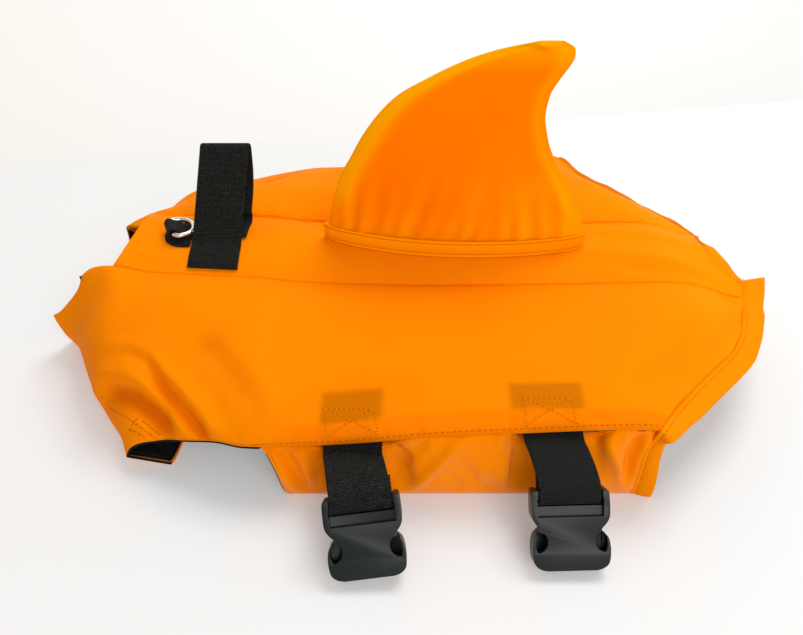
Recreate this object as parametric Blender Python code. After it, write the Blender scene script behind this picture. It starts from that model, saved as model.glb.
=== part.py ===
"""Dog life jacket with a stuffed shark fin, lying on its belly flaps with its buckles undone.

Lengths in this script are millimetres, and the meshes are made in metres. X runs from the neck to the
tail, Y from the dog's left to its right, Z up from the surface that the jacket lies on. "Out" is the
distance from the spine, the same on both sides, and side is -1 on the dog's left and +1 on its right.
"""

import bpy
import numpy as np

MM = 0.001
GAP = 0.3                 # between sewn pieces
LEFT, RIGHT = -1, 1
ORIGIN = (5.4, 0.1, 0.0)  # the middle of the footprint, measured from the middle of the hem

# Driving dimensions
WEBBING_W, WEBBING_T = 29.0, 1.8
SEAM_OUT = 34.0           # spine to lengthwise seam
HEM_OUT = 142.0           # spine to hem
CLOTH_T = 3.0             # shell, interlining and thin foam at a seam
PUFF = 8.0                # more foam in the middle of a side panel
CROWN = 9.0               # rise of the centre panel between its seams
LINING_T = 1.0
BAND_T = 2.0
FLAP_T = 1.5
TAIL_DROP, TAIL_REACH = 7.0, 42.0


def table(columns, *rows):
    """A short table with named columns, as a dictionary of arrays."""
    return dict(zip(columns.split(), np.array(rows, float).T))


# Heights along the body. low is the lower edge of the side panel: the hem, and in front of it the leg hole.
BODY = table(
    "x seam_z low_out low_z",
    (-217, 68.0, 131, 24.0),
    (-172, 67.5, 131, 24.0),
    (-148, 62.0, 130, 24.0),
    (-128, 60.5, 127.5, 23.0),
    (-111, 59.3, 131, 26.5),
    (-95, 58.4, 135, 31.0),
    (-78, 56.8, 141, 34.5),
    (-66, 55.0, 142, 35.5),
    (-31, 53.0, 142, 38.0),
    (18, 52.0, 142, 44.0),
    (58, 52.3, 142, 47.0),
    (113, 53.0, 142, 50.0),
    (155, 54.0, 142, 47.0),
    (185, 52.5, 142, 45.0),
    (213, 49.0, 142, 44.0),
)
# The fold at the front edge of each side, from the neck point down to the leg hole.
FOLD = {
    LEFT: table("out x z", (34, -217, 28), (41, -206, 24), (62, -191, 20), (84, -178, 17),
                (104, -163, 12), (117, -152, 9), (127, -147, 6)),
    RIGHT: table("out x z", (46, -194, 42), (54, -190, 32), (66, -184, 23), (84, -178, 17),
                 (104, -163, 12), (117, -152, 9), (127, -147, 6)),
}
SEAM_BACK = 6.0           # least distance of the front seam behind the fold
FOLD_SLANT = 0.81         # how far the fold is from running straight across
ROLL = {LEFT: (56.0, 30.0), RIGHT: (72.0, 42.0)}    # length of the roll over the fold at the neck, and its loss by the hem
NECK_SAG = 6.0            # how far the right seam sinks towards the neck
# Where the top edge of each side panel runs: along the seam, and round the neck in front of it.
NECK = {
    LEFT: table("x out", (-217, 34.4), (-209, 37.6), (-202, 39.7), (-195, 39.8), (-192.5, 37.5), (-190, 31.5),
                (-187, 29.5), (-182, 31), (-176, 34), (230, 34)),
    RIGHT: table("x out", (-194, 46), (-189, 43), (-184, 39), (-178, 35), (-174, 34), (160, 34), (230, 34)),
}
# The front seam of the side panel, by share of the way down from the neck to the leg hole.
FRONT_SEAM = table("down x", (0, -217), (0.07, -206), (0.29, -190), (0.45, -180), (0.646, -166.5),
                   (0.8, -150.5), (0.918, -137.6), (1, -126.5))
TAIL_SEAM = {
    LEFT: table("down x", (0, 206.5), (0.07, 204.9), (0.206, 198.7), (0.29, 194.6), (0.38, 188), (0.464, 181.3),
                (0.572, 168.7), (0.735, 150), (0.875, 135), (1, 124)),
    RIGHT: table("down x", (0, 202), (0.06, 199.5), (0.23, 187), (0.39, 174.5), (0.64, 154), (0.79, 140.5), (1, 125)),
}
NECK_DEPTH = 6.0          # how far the neckline of the centre panel dips towards the tail
# Tail edge of the centre panel, which bulges beside the left seam.
BACK_EDGE = table("y x", (-34, 206.5), (-27, 209), (-21, 211.3), (-15, 210.5), (-6, 206), (13, 203.5), (34, 202))


def read(source, column, at, by="x"):
    """A column of a table between its rows: cubic pieces whose slopes never overshoot, level past the ends."""
    x, y = source[by], source[column]
    step = np.diff(x)
    slope = np.diff(y) / step
    same = slope[1:] * slope[:-1] > 0
    inner = 2 * slope[1:] * slope[:-1] / np.where(same, slope[1:] + slope[:-1], 1)
    slopes = np.concatenate([slope[:1], np.where(same, inner, 0), slope[-1:]])
    at = np.clip(at, x[0], x[-1])
    i = np.clip(np.searchsorted(x, at, side="right") - 1, 0, len(step) - 1)
    u = (at - x[i]) / step[i]
    return (y[i] * (1 + 2 * u) * (1 - u) ** 2 + slopes[i] * step[i] * u * (1 - u) ** 2
            + y[i + 1] * u**2 * (3 - 2 * u) - slopes[i + 1] * step[i] * u**2 * (1 - u))


def smooth(u):
    """0 up to u = 0, 1 from u = 1, with level ends."""
    u = np.clip(u, 0, 1)
    return u * u * (3 - 2 * u)


def material(name, colour, roughness, metallic=0.0):
    made = bpy.data.materials.new(name)
    made.use_nodes = True
    shader = made.node_tree.nodes["Principled BSDF"]
    shader.inputs["Base Color"].default_value = (*colour, 1)
    shader.inputs["Roughness"].default_value = roughness
    shader.inputs["Metallic"].default_value = metallic
    made.diffuse_color = (*colour, 1)
    return made


def add_mesh(name, points, faces, finish, shade=True, place=ORIGIN):
    """One object from points in millimetres, with its origin at place. A mesh that faces inwards is turned round."""
    points = (np.asarray(points, float) - place) * MM
    mesh = bpy.data.meshes.new(name)
    mesh.from_pydata(points.tolist(), [], [list(map(int, face)) for face in faces])
    mesh.validate()
    mesh.calc_loop_triangles()
    corners = np.array([t.vertices[:] for t in mesh.loop_triangles])
    if np.linalg.det(points[corners]).sum() < 0:
        mesh.flip_normals()
    mesh.materials.append(finish)
    if shade:
        mesh.shade_smooth()
        mesh.set_sharp_from_angle(angle=np.radians(40))
    made = bpy.data.objects.new(name, mesh)
    made.location = (np.asarray(place) - ORIGIN) * MM
    bpy.context.scene.collection.objects.link(made)
    return made


def triangles(rows, columns):
    """Two triangles for each cell of a grid whose points are numbered row by row, all cut the same way."""
    i = np.arange(rows - 1)[:, None] * columns
    j = np.arange(columns - 1)[None, :]
    a, b, c, d = i + j, i + j + 1, i + columns + j + 1, i + columns + j
    return np.concatenate([np.stack([a, b, c], -1).reshape(-1, 3), np.stack([a, c, d], -1).reshape(-1, 3)])


def tube_faces(rings, sides):
    """The faces of a closed ring of cross sections that each have this many points."""
    i = np.arange(rings)[:, None] * sides
    ahead = (i + sides) % (rings * sides)
    j = np.arange(sides)[None, :]
    after = (j + 1) % sides
    return np.stack([i + j, i + after, ahead + after, ahead + j], -1).reshape(-1, 4)


def wall(name, outer, inner, finish):
    """A closed wall between two grids of points that match one to one."""
    rows, columns = outer.shape[:2]
    count = rows * columns
    index = np.arange(count).reshape(rows, columns)
    rim = np.concatenate([index[0, :-1], index[:-1, -1], index[-1, :0:-1], index[:0:-1, 0]])
    after = np.roll(rim, -1)
    edge = np.stack([rim, after, after + count, rim + count], -1)
    faces = [*triangles(rows, columns), *(triangles(rows, columns)[:, ::-1] + count), *edge[:, ::-1]]
    return add_mesh(name, np.concatenate([outer.reshape(-1, 3), inner.reshape(-1, 3)]), faces, finish)


def normals(grid):
    """Unit normals of a grid of points, from its differences both ways."""
    across = np.cross(np.gradient(grid, axis=0), np.gradient(grid, axis=1))
    return across / np.maximum(np.linalg.norm(across, axis=-1, keepdims=True), 1e-9)


def outward(grid, inside):
    """normals(grid), turned so that they point away from the point inside."""
    n = normals(grid)
    return n * np.where(((grid - inside) * n).sum(-1, keepdims=True) < 0, -1, 1)


# Form of the top of the jacket

def seam_z(x, side):
    """Height of a lengthwise seam. The right one sinks towards the neck."""
    sag = NECK_SAG * smooth((-120 - x) / 52) if side == RIGHT else 0
    return read(BODY, "seam_z", x) - sag


SIDE_ROWS, SIDE_COLUMNS, BACK_COLUMNS = 30, 10, 8           # points of the panels' grids


def top_z(x, out, side):
    """Height of the seam-level surface: level at the seam, falling to the hem, rolled over the front fold."""
    low_out = read(BODY, "low_out", x)
    down = np.clip((out - SEAM_OUT) / (low_out - SEAM_OUT), 0, 1.1)
    full = seam_z(x, side) + (read(BODY, "low_z", x) - seam_z(x, side)) * down**2.2
    fold = FOLD[side]
    reach = ROLL[side][0] - ROLL[side][1] * down
    away = np.clip((x - read(fold, "x", out, by="out")) * FOLD_SLANT / reach, 0, 1)
    fold_z = read(fold, "z", out, by="out")
    tail = read(TAIL_SEAM[side], "x", down, by="down") - x
    drop = TAIL_DROP * (1 - smooth(tail / TAIL_REACH)) * (1 - np.minimum(down, 1) ** 3)
    return fold_z + (full - fold_z) * np.sqrt(1 - (1 - away) ** 2) - drop


def side_grid(side, rows, columns, first=0.0, last=1.0):
    """Points of a side panel at seam level. Rows run from the front seam to the tail, columns from seam to hem."""
    along = np.linspace(0, 1, rows)[:, None]
    along = 0.45 * along + 0.55 * along**1.7
    down = np.linspace(first, last, columns)[None, :]
    seam_x = read(FRONT_SEAM, "x", down, by="down")
    front, top = seam_x, SEAM_OUT
    for _ in range(2):
        fold_out = top + down * (read(BODY, "low_out", front) - top)
        front = np.maximum(seam_x, read(FOLD[side], "x", fold_out, by="out") + SEAM_BACK)
        top = read(NECK[side], "out", front)
    tail = read(TAIL_SEAM[side], "x", down, by="down")
    x = front + (tail - front) * along
    top, low = read(NECK[side], "out", x), read(BODY, "low_out", x)
    out = top + GAP / 2 + (low - top - GAP / 2) * down
    return np.stack([x, side * out, top_z(x, out, side)], -1), along, down


def puff(along, down):
    """0 at the edges of a side panel and 1 over its foam."""
    return (1 - np.abs(2 * down - 1) ** 3) ** 0.7 * (smooth(along / 0.3) * (1 - np.clip(2 * along - 1, 0, 1) ** 8)) ** 0.7


def back_z(x, y):
    """Height of the centre panel: crowned between its seams."""
    share = (y / SEAM_OUT + 1) / 2
    level = seam_z(x, LEFT) * (1 - share) + seam_z(x, RIGHT) * share
    tail = read(BACK_EDGE, "x", y, by="y") - x
    return level + CROWN * (1 - (y / SEAM_OUT) ** 2) - TAIL_DROP * (1 - smooth(tail / TAIL_REACH))


def back_grid(rows, columns):
    """Points of the centre panel. Rows run from the neckline to the tail."""
    y = np.linspace(-SEAM_OUT + GAP / 2, SEAM_OUT - GAP / 2, columns)[None, :]
    across = 1 - (y / SEAM_OUT) ** 2
    front = -169 + NECK_DEPTH * across
    tail = read(BACK_EDGE, "x", y, by="y")
    x = front + (tail - front) * np.linspace(0, 1, rows)[:, None]
    return np.stack([x, np.broadcast_to(y, x.shape), back_z(x, y)], -1)


INSIDE = np.array([0.0, 0.0, 24.0])
DOWN = np.array([0.0, 0.0, -1.0])


def side_normals(grid, down):
    """Ways out of a side panel: straight up along the seam, where it meets the centre panel."""
    n = outward(grid, INSIDE)
    upright = smooth(1 - down / 0.2) * smooth((grid[..., 0] + 200) / 25)
    n = n * (1 - upright[..., None]) - DOWN * upright[..., None]
    return n / np.linalg.norm(n, axis=-1, keepdims=True)


def build_side_panels(shell_finish, lining_finish):
    """Foam side panels, and the lining that lies under each."""
    for side, name in ((LEFT, "left"), (RIGHT, "right")):
        grid, along, down = side_grid(side, SIDE_ROWS, SIDE_COLUMNS)
        n = side_normals(grid, down)
        outer = grid + n * (PUFF * puff(along, down))[..., None]
        thickness = BAND_T - 0.8 + (CLOTH_T - BAND_T + 0.8) * smooth(along / 0.1)
        wall(f"side_panel_{name}", outer, grid - n * thickness[..., None], shell_finish)
        grid, n = grid[1:, :9], n[1:, :9]
        upper = CLOTH_T + 2 * GAP
        wall(f"lining_{name}", grid - n * upper, grid - n * (upper + LINING_T), lining_finish)


def build_back_panel(shell_finish, lining_finish):
    """Narrow centre panel between the two lengthwise seams, and its lining."""
    grid = back_grid(SIDE_ROWS, BACK_COLUMNS)
    wall("back_panel", grid, grid + DOWN * CLOTH_T, shell_finish)
    upper = CLOTH_T + GAP
    wall("lining_back", grid + DOWN * upper, grid + DOWN * (upper + LINING_T), lining_finish)


# Chest bands

BAND_END = {LEFT: 22.0, RIGHT: 18.0}       # how far past the spine each band reaches below the neck
BAND_REAR = -120.0                         # rear edge of the bands on the spine
BAND_FRONT = {LEFT: -208.0, RIGHT: -202.0}
LIFT_OUT = 50.0                            # where a right-hand piece starts to rise over the left-hand one


def band_grid(side, rows, top_columns, under_columns):
    """Points of a chest band. Rows run from the neck lip to the leg hole, columns over the fold and under."""
    down = np.linspace(0, 1, rows)[:, None]
    seam, _, _ = side_grid(side, 2, rows)
    seam = seam[0][:, None, :]
    fold = FOLD[side]
    seam_out = np.abs(seam[..., 1])
    share = (seam_out - seam_out[0]) / (seam_out[-1] - seam_out[0])
    fold_out = fold["out"][0] + (fold["out"][-1] - fold["out"][0]) * share
    fold_x = read(fold, "x", fold_out, by="out")
    fold_z = read(fold, "z", fold_out, by="out")

    share = 1 - (1 - np.linspace(0, 1, top_columns)[None, :]) ** 2
    near = 3 * GAP / np.maximum(np.hypot(seam[..., 0] - fold_x, seam_out - fold_out), 1)
    share = near + (1 - near) * share
    top_x = seam[..., 0] + (fold_x - seam[..., 0]) * share
    top_out = seam_out + (fold_out - seam_out) * share
    top_height = np.maximum(top_z(top_x, top_out, side), fold_z)

    turn = np.linspace(0, 1, under_columns)[None, :]
    under_out = fold_out - (fold_out + BAND_END[side]) * (0.004 + 0.25 * turn + 0.746 * turn**1.6)
    gone = (fold_out - under_out) / (fold_out + BAND_END[side])
    end_x = BAND_FRONT[side] + (BAND_REAR - BAND_FRONT[side]) * down
    under_x = fold_x + (end_x - fold_x) * gone ** (0.9 - 0.864 * down)
    roll = np.clip((fold_out - under_out) / ((7 + 0.6 * fold_z) * (1 - 0.9 * down**6)), 0, 1)
    lift = (BAND_T + LINING_T + 3 * GAP) * smooth((LIFT_OUT - under_out) / 20) if side == RIGHT else 0
    under_height = fold_z * (1 - np.sqrt(1 - (1 - roll) ** 2)) + lift

    return np.stack([np.concatenate([top_x, under_x], 1), side * np.concatenate([top_out, under_out], 1),
                     np.concatenate([top_height, under_height], 1)], -1)


def build_chest_bands(shell_finish, lining_finish):
    """Bands that carry on from the side panels, fold under and overlap below the neck, with their lining."""
    for side, name in ((LEFT, "left"), (RIGHT, "right")):
        grid = band_grid(side, SIDE_COLUMNS, 4, 11)
        n = outward(grid, np.array([-150.0, side * 70.0, 14.0]))
        flat = (grid[..., 2] < 6) & (n[..., 2] < -0.8)
        n = np.where(flat[..., None], DOWN, n)
        panel, _, down = side_grid(side, SIDE_ROWS, SIDE_COLUMNS)
        n[:, 0] = side_normals(panel, down)[0]
        wall(f"chest_band_{name}", grid, grid - n * BAND_T, shell_finish)
        grid, n = grid[:-1, 2:], n[:-1, 2:]
        upper = BAND_T + 2 * GAP
        wall(f"lining_chest_{name}", grid - n * upper, grid - n * (upper + LINING_T), lining_finish)


# Straps and buckles

BUCKLE_L, BUCKLE_T = 37.0, 8.4
BUCKLE_LEAN = np.radians(50)               # the buckles lean on their lower ends
BUCKLE_TURN = {"front": np.radians(7), "rear": np.radians(1.5)}    # turned a little towards the tail
BAR_L, BAR_HALF_T = 4.0, 1.8               # webbing bar at the top of a buckle
SLOT_END, RECESS_END = 7.7, 10.0           # the slot below it, and a recess below that in the female half
MALE_L, MALE_T = 39.0, 6.0
STRAPS = {                                  # middle at the hem, and at the top of the buckle
    "front": {"x": -24.0, "buckle_x": -19.0, "buckle_out": 168.0},
    "rear": {"x": 73.5, "buckle_x": 78.0, "buckle_out": 163.5},
}
STRAP_ROOT = 5.0                           # length of strap tucked under the hem
RETURN_L = 9.0                             # doubled end behind the bar


def buckle_axes(side, strap):
    """Unit vectors of a buckle: along it to its open end, across it, and out of its face."""
    along = np.array([0, side * np.cos(BUCKLE_LEAN), -np.sin(BUCKLE_LEAN)])
    across = np.array([1.0, 0, 0])
    face = np.array([0, side * np.sin(BUCKLE_LEAN), np.cos(BUCKLE_LEAN)])
    turn = BUCKLE_TURN[strap]
    return along * np.cos(turn) + across * np.sin(turn), across * np.cos(turn) - along * np.sin(turn), face


def buckle_top(side, strap):
    """The top of a buckle's bar, at the height where the buckle's lower end rests on the floor."""
    length, thickness, end_half = (BUCKLE_L, BUCKLE_T, 12.6) if side == LEFT else (MALE_L, MALE_T, 14.2)
    drop = length * np.cos(BUCKLE_TURN[strap]) + end_half * np.sin(BUCKLE_TURN[strap])
    height = drop * np.sin(BUCKLE_LEAN) + thickness / 2 * np.cos(BUCKLE_LEAN) + 0.1
    return np.array([STRAPS[strap]["buckle_x"], side * STRAPS[strap]["buckle_out"], height])


def ribbon(name, path, width, thickness, finish, across, turned=None):
    """A strap of webbing along path. across is its width's direction at each point."""
    path = np.asarray(path, float)
    tangent = np.gradient(path, axis=0)
    tangent /= np.linalg.norm(tangent, axis=1, keepdims=True)
    across = np.broadcast_to(across, path.shape)
    up = np.cross(tangent, across)
    up /= np.linalg.norm(up, axis=1, keepdims=True)
    side = np.array([-0.5, 0.5])[None, :, None] * width * across[:, None, :]
    outer = path[:, None, :] + side + up[:, None, :] * thickness / 2
    inner = path[:, None, :] + side - up[:, None, :] * thickness / 2
    return wall(name, outer, inner, finish)


def strap_path(side, strap):
    """Middle line of a strap: from under the hem, out and down to the bar, round it and back behind itself."""
    along, across, face = buckle_axes(side, strap)
    bar = buckle_top(side, strap)
    x = STRAPS[strap]["x"]
    hem_z = float(read(BODY, "low_z", x))
    root = np.array([x, side * (HEM_OUT - STRAP_ROOT), hem_z - CLOTH_T - GAP - WEBBING_T / 2 - 0.4])
    leave = root + np.array([0, side * (STRAP_ROOT + 2), -1.6])
    wrap = 2 + GAP + WEBBING_T / 2
    arrive = bar + face * wrap
    bend = arrive - along * 7.0
    t = np.linspace(0, 1, 9)[:, None]
    run = (1 - t) ** 2 * leave + 2 * t * (1 - t) * bend + t**2 * arrive
    run = np.concatenate([root[None], run])
    front = arrive + along * np.array([BAR_L * 0.55])[:, None]
    angle = np.linspace(0, np.pi, 6)[:, None]
    centre = bar + along * (BAR_L + 0.2 - 1.2)
    loop = centre + face * wrap * np.cos(angle) + along * wrap * np.sin(angle)
    back = bar - face * wrap
    heading = run[-1] - run[-3]
    heading /= np.linalg.norm(heading)
    tail = [back, back - along * RETURN_L * 0.45 - face * 0.2, back - along * RETURN_L * 0.8 - face * 0.6]
    path = np.concatenate([run, front, loop, tail])
    turn = np.concatenate([np.linspace(0, 1, len(run)), np.ones(len(path) - len(run))])[:, None]
    width = np.array([1.0, 0, 0]) * (1 - turn) + across * turn
    return path, width / np.linalg.norm(width, axis=1, keepdims=True)


# Half outlines of the buckles, from the bar to the open end: distance along, and half width.
FEMALE = table("along half", (0, 16.6), (1.2, 17.8), (8, 18.1), (12.5, 17.8), (15.5, 16.2), (17.5, 14.4),
               (18.6, 14.1), (19.6, 15.0), (22, 17.0), (26, 17.9), (31, 17.5), (34.5, 15.2), (36.6, 12.6),
               (BUCKLE_L, 11.0))
MALE = table("along half", (0, 16.6), (1.2, 17.8), (14, 18.0), (17, 17.4), (19, 15.2), (24, 13.4), (29, 13.6),
             (32, 15.6), (34.5, 15.9), (37, 14.2), (MALE_L, 11.0), (38, 9.4), (34, 10.2), (24, 9.8), (19, 7.6),
             (18.5, 3.2), (37, 2.6), (38.5, 1.4))


def prism(name, outline, thickness, finish, shift=0.0):
    """A flat plate in a buckle's own axes, as points (across, along, out of its face)."""
    count = len(outline)
    level = np.repeat([[shift - thickness / 2], [shift + thickness / 2]], count, axis=0)
    points = np.concatenate([np.tile(outline, (2, 1)), level], 1)
    i = np.arange(count)
    after = (i + 1) % count
    faces = [list(i[::-1]), list(i + count), *np.stack([i, after, after + count, i + count], -1)]
    return points, faces


def rectangle(across, along):
    """Four corners from two ranges."""
    return np.array([(across[0], along[0]), (across[1], along[0]), (across[1], along[1]), (across[0], along[1])])


def build_buckle(side, strap, kind, outline, thickness, cuts, finish):
    """A buckle half: its outline as a thick plate, less the cuts."""
    along, across, face = buckle_axes(side, strap)
    place = buckle_top(side, strap)
    axes = np.stack([across, along, face])
    half = np.stack([outline["half"], outline["along"]], -1)
    both = np.concatenate([half, half[::-1] * (-1, 1)])
    points, faces = prism(kind, both, thickness, finish)
    name = f"buckle_{kind}_{strap}"
    body = add_mesh(name, place + points @ axes, faces, finish)
    bevel = body.modifiers.new("edges", "BEVEL")
    bevel.width, bevel.segments, bevel.limit_method = 0.7 * MM, 1, "ANGLE"
    bevel.angle_limit = np.radians(50)
    for number, (cut_outline, cut_thickness, shift) in enumerate(cuts):
        points, faces = prism(name, cut_outline, cut_thickness, finish, shift)
        cutter = add_mesh(f"cut_{name}_{number}", place + points @ axes, faces, finish, shade=False)
        cutter.hide_render = True
        cutter.display_type = "WIRE"
        cut = body.modifiers.new(f"cut {number}", "BOOLEAN")
        cut.operation, cut.object = "DIFFERENCE", cutter
    return body


def build_straps(webbing_finish, buckle_finish):
    """Two straps on each side. The left ones end in female halves and the right ones in male halves."""
    through = BUCKLE_T + 4
    slot = (rectangle((-15.4, 15.4), (BAR_L, SLOT_END)), through, 0)
    recess = (rectangle((-15.2, 15.2), (SLOT_END - 1, RECESS_END)), through, through / 2 - 1)
    bar_front = (rectangle((-15.0, 15.0), (-1, BAR_L + 0.5)), through, BAR_HALF_T + through / 2)
    bar_back = (rectangle((-15.0, 15.0), (-1, BAR_L + 0.5)), through, -BAR_HALF_T - through / 2)
    pocket = (rectangle((-10.6, 10.6), (15, BUCKLE_L + 2)), 5.0, 0)
    window = np.array([(11.2, 20.4), (13.2, 20.4), (15.2, 22), (16.1, 24.5), (15.8, 27), (14.0, 28.2), (12.3, 27),
                       (11.0, 24)])
    windows = [(window, through, 0), (window * (-1, 1), through, 0)]
    for side, side_name, kind, outline, cuts in (
        (LEFT, "left", "female", FEMALE, [slot, recess, bar_front, bar_back, pocket, *windows]),
        (RIGHT, "right", "male", MALE, [slot, bar_front, bar_back]),
    ):
        for strap in STRAPS:
            path, width = strap_path(side, strap)
            ribbon(f"strap_{side_name}_{strap}", path, WEBBING_W, WEBBING_T, webbing_finish, width)
            thickness = BUCKLE_T if kind == "female" else MALE_T
            build_buckle(side, strap, kind, outline, thickness, cuts, buckle_finish)


# Belly flaps

FLAP_FRONT = table("z x", (0, -58.5), (10, -60.5), (21, -62.5), (27, -65), (30, -67), (33, -72))
FLAP_TAIL = table("z x", (0, 118), (50, 118))
FLAP_HEM_FRONT, FLAP_HEM_TAIL = -72.0, 119.0
FLAP_END = {LEFT: 25.0, RIGHT: 20.0}
# Section of a flap: from under the hem, down its wall, and under. share is of the hem's height.
FLAP_SECTION = table("out share", (136.8, 1.0), (139.4, 1.0), (141.6, 0.9), (144.4, 0.72), (146.6, 0.45), (147, 0.2),
                     (145.6, 0.05), (142, 0.0), (125, 0.0), (100, 0.0), (70, 0.0), (40, 0.0), (10, 0.0), (-1, 0.0))


def flap_grid(side):
    """Points of a belly flap's outer face. Rows run from the leg hole to the tail, columns from the hem to its end."""
    middles = [item["x"] for item in STRAPS.values()]
    beside = [x + step for x in middles for step in (-27, -17.5, 0, 17.5, 27)]
    middle_x = np.sort([FLAP_HEM_FRONT, -62, *beside, 24, 110, FLAP_HEM_TAIL])[:, None]
    along = (middle_x - FLAP_HEM_FRONT) / (FLAP_HEM_TAIL - FLAP_HEM_FRONT)
    out, share = FLAP_SECTION["out"][None, :], FLAP_SECTION["share"][None, :]
    hem_z = read(BODY, "low_z", middle_x)
    strap = sum(smooth((27 - np.abs(middle_x - x)) / 9) for x in middles)
    tuck = strap * (WEBBING_T + 2 * GAP + 3.0)
    under_panel = top_z(middle_x, np.minimum(out, HEM_OUT), side) - CLOTH_T - 2 * GAP - tuck
    z = np.where(share > 0.89, under_panel - (share < 0.95) * 2.0, share * (hem_z - CLOTH_T))
    x = read(FLAP_FRONT, "x", z, by="z") * (1 - along) + read(FLAP_TAIL, "x", z, by="z") * along
    reach = np.where(out < 0, -FLAP_END[side], out - tuck * (share > 0.3) * (share < 0.95))
    if side == RIGHT:
        z = z + (FLAP_T + 2 * GAP) * smooth((LIFT_OUT - reach) / 18) * (share == 0)
    return np.stack([x, side * reach, z], -1)


def build_belly_flaps(satin_finish):
    """Thin flaps sewn under the hems, turned under the belly, the right one overlapping the left one."""
    for side, name in ((LEFT, "left"), (RIGHT, "right")):
        grid = flap_grid(side)
        n = outward(grid, np.array([30.0, side * 70.0, 20.0]))
        flat = FLAP_SECTION["share"][None, :] == 0
        n = np.where(flat[..., None], DOWN, n)
        wall(f"belly_flap_{name}", grid, grid - n * FLAP_T, satin_finish)


# Flange round the tail opening

BINDING_T, BACK_BINDING_W = 2.0, 11.0


def flange(name, inner_edge, direction, finish, width):
    """A doubled strip of cloth that stands off an edge. direction gives its way out at each point."""
    direction = direction / np.linalg.norm(direction, axis=1, keepdims=True)
    run = np.gradient(inner_edge, axis=0)
    up = np.cross(direction, run)
    up /= np.linalg.norm(up, axis=1, keepdims=True)
    share = np.stack([width * 0 + GAP + 0.5, width * 0.5, width], 1)[:, :, None]
    middle = inner_edge[:, None, :] + direction[:, None, :] * share
    return wall(name, middle + up[:, None, :] * BINDING_T / 2, middle - up[:, None, :] * BINDING_T / 2, finish)


def build_bindings(finish):
    """The flange in five strips: both side panels, the centre panel, and both belly flaps."""
    mid = DOWN * CLOTH_T / 2
    back = back_grid(SIDE_ROWS, BACK_COLUMNS)[-1] + mid
    for side, name in ((LEFT, "left"), (RIGHT, "right")):
        edge = side_grid(side, SIDE_ROWS, SIDE_COLUMNS)[0][-1] + mid
        edge[0] += (0.6, 0, 0)
        share = np.linspace(0, 1, SIDE_COLUMNS)
        if side == LEFT:
            away = np.stack([1 - 0.35 * share, -0.15 - 0.55 * share, -0.3 - 0.15 * share], -1)
            width = np.interp(share, (0, 0.1, 0.5, 0.8, 1), (14, 12, 13, 12, 7))
            edge = np.concatenate([back[2:0:-1], edge])
            away = np.concatenate([[[1.0, 0.05, -0.3]] * 2, away])
            width = np.concatenate([[18.0, 16.5], width])
        else:
            run = np.gradient(edge, axis=0)
            plan = np.stack([run[:, 1], -run[:, 0], run[:, 0] * 0], -1)
            edge = edge + 0.5 * plan / np.linalg.norm(plan, axis=1, keepdims=True)
            away = np.tile([[0.6, 0.45, -0.55]], (SIDE_COLUMNS, 1))
            width = np.interp(share, (0, 0.8, 1), (9, 9, 6))
        flange(f"tail_binding_{name}", edge, away, finish, width)
        flap = flap_grid(side)[-1]
        low = flap[2:8] + (0, -side * 0.75, 0)
        low[0] += 0.45 * (low[1] - low[0])
        low[:, 2] = np.maximum(low[:, 2], BINDING_T / 2 + 0.1)
        away = np.stack([np.ones(6), side * np.linspace(0.25, 0.1, 6), np.zeros(6)], -1)
        flange(f"belly_binding_{name}", low, away, finish, np.array([6.5, 8, 9.5, 10.5, 11, 11.5]))
    edge = back[2:].copy()
    edge[0, 1] += 2 * GAP
    away = np.tile([[1.0, 0, -0.25]], (len(edge), 1))
    flange("tail_binding_back", edge, away, finish, np.full(len(edge), BACK_BINDING_W))


# Fin

FIN_STRIP_H, FIN_STRIP_T = 9.0, 1.2
FIN_FOOT_HALF, FIN_HALF = 12.8, 11.5       # half thickness of the strip's foot and of the stuffed fin above it
# Front and rear edges of the fin by height above the surface it lies on.
FIN = table("z front rear half", (62, -47, 112, 1.0), (71, -46, 111, 1.0), (80, -43, 109, 1.05), (98, -38, 99, 1.0),
            (115, -29.5, 90, 0.95), (130, -22, 83, 0.86), (143, -12, 80, 0.74), (155, 0, 81, 0.6),
            (165, 15, 85, 0.46), (173, 35, 90, 0.33), (179, 54, 91, 0.22), (183, 73, 83, 0.12))


def lens(share):
    """Half thickness across the fin's chord: a rounded nose and a rounded, finer tail."""
    return np.clip(4 * share * (1 - share), 0, 1) ** 0.62 * (1 + 0.18 * (0.5 - share))


def build_fin(finish):
    """Two cut shapes, stuffed between them, standing on the spine."""
    level = np.linspace(0, 1, 15)[:, None]
    z = FIN["z"][0] + (FIN["z"][-1] - FIN["z"][0]) * (1 - (1 - level) ** 1.25)
    share = (1 - np.cos(np.linspace(0, np.pi, 12)))[None, :] / 2
    front, rear = read(FIN, "front", z, by="z"), read(FIN, "rear", z, by="z")
    x = front + (rear - front) * share
    half = FIN_HALF * read(FIN, "half", z, by="z") * lens(share)
    for side, name in ((LEFT, "left"), (RIGHT, "right")):
        middle = np.broadcast_to(side * GAP / 2, x.shape)
        outer_y = side * (GAP / 2 + 0.6 + half)
        on_back = back_z(x, outer_y) + GAP
        base = 1 - smooth(level / 0.12)
        height = z + (on_back - FIN["z"][0]) * base
        inner_height = z + (back_z(x, middle) + GAP - FIN["z"][0]) * base
        wall(f"fin_{name}", np.stack([x, outer_y, height], -1), np.stack([x, middle, inner_height], -1), finish)


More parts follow.
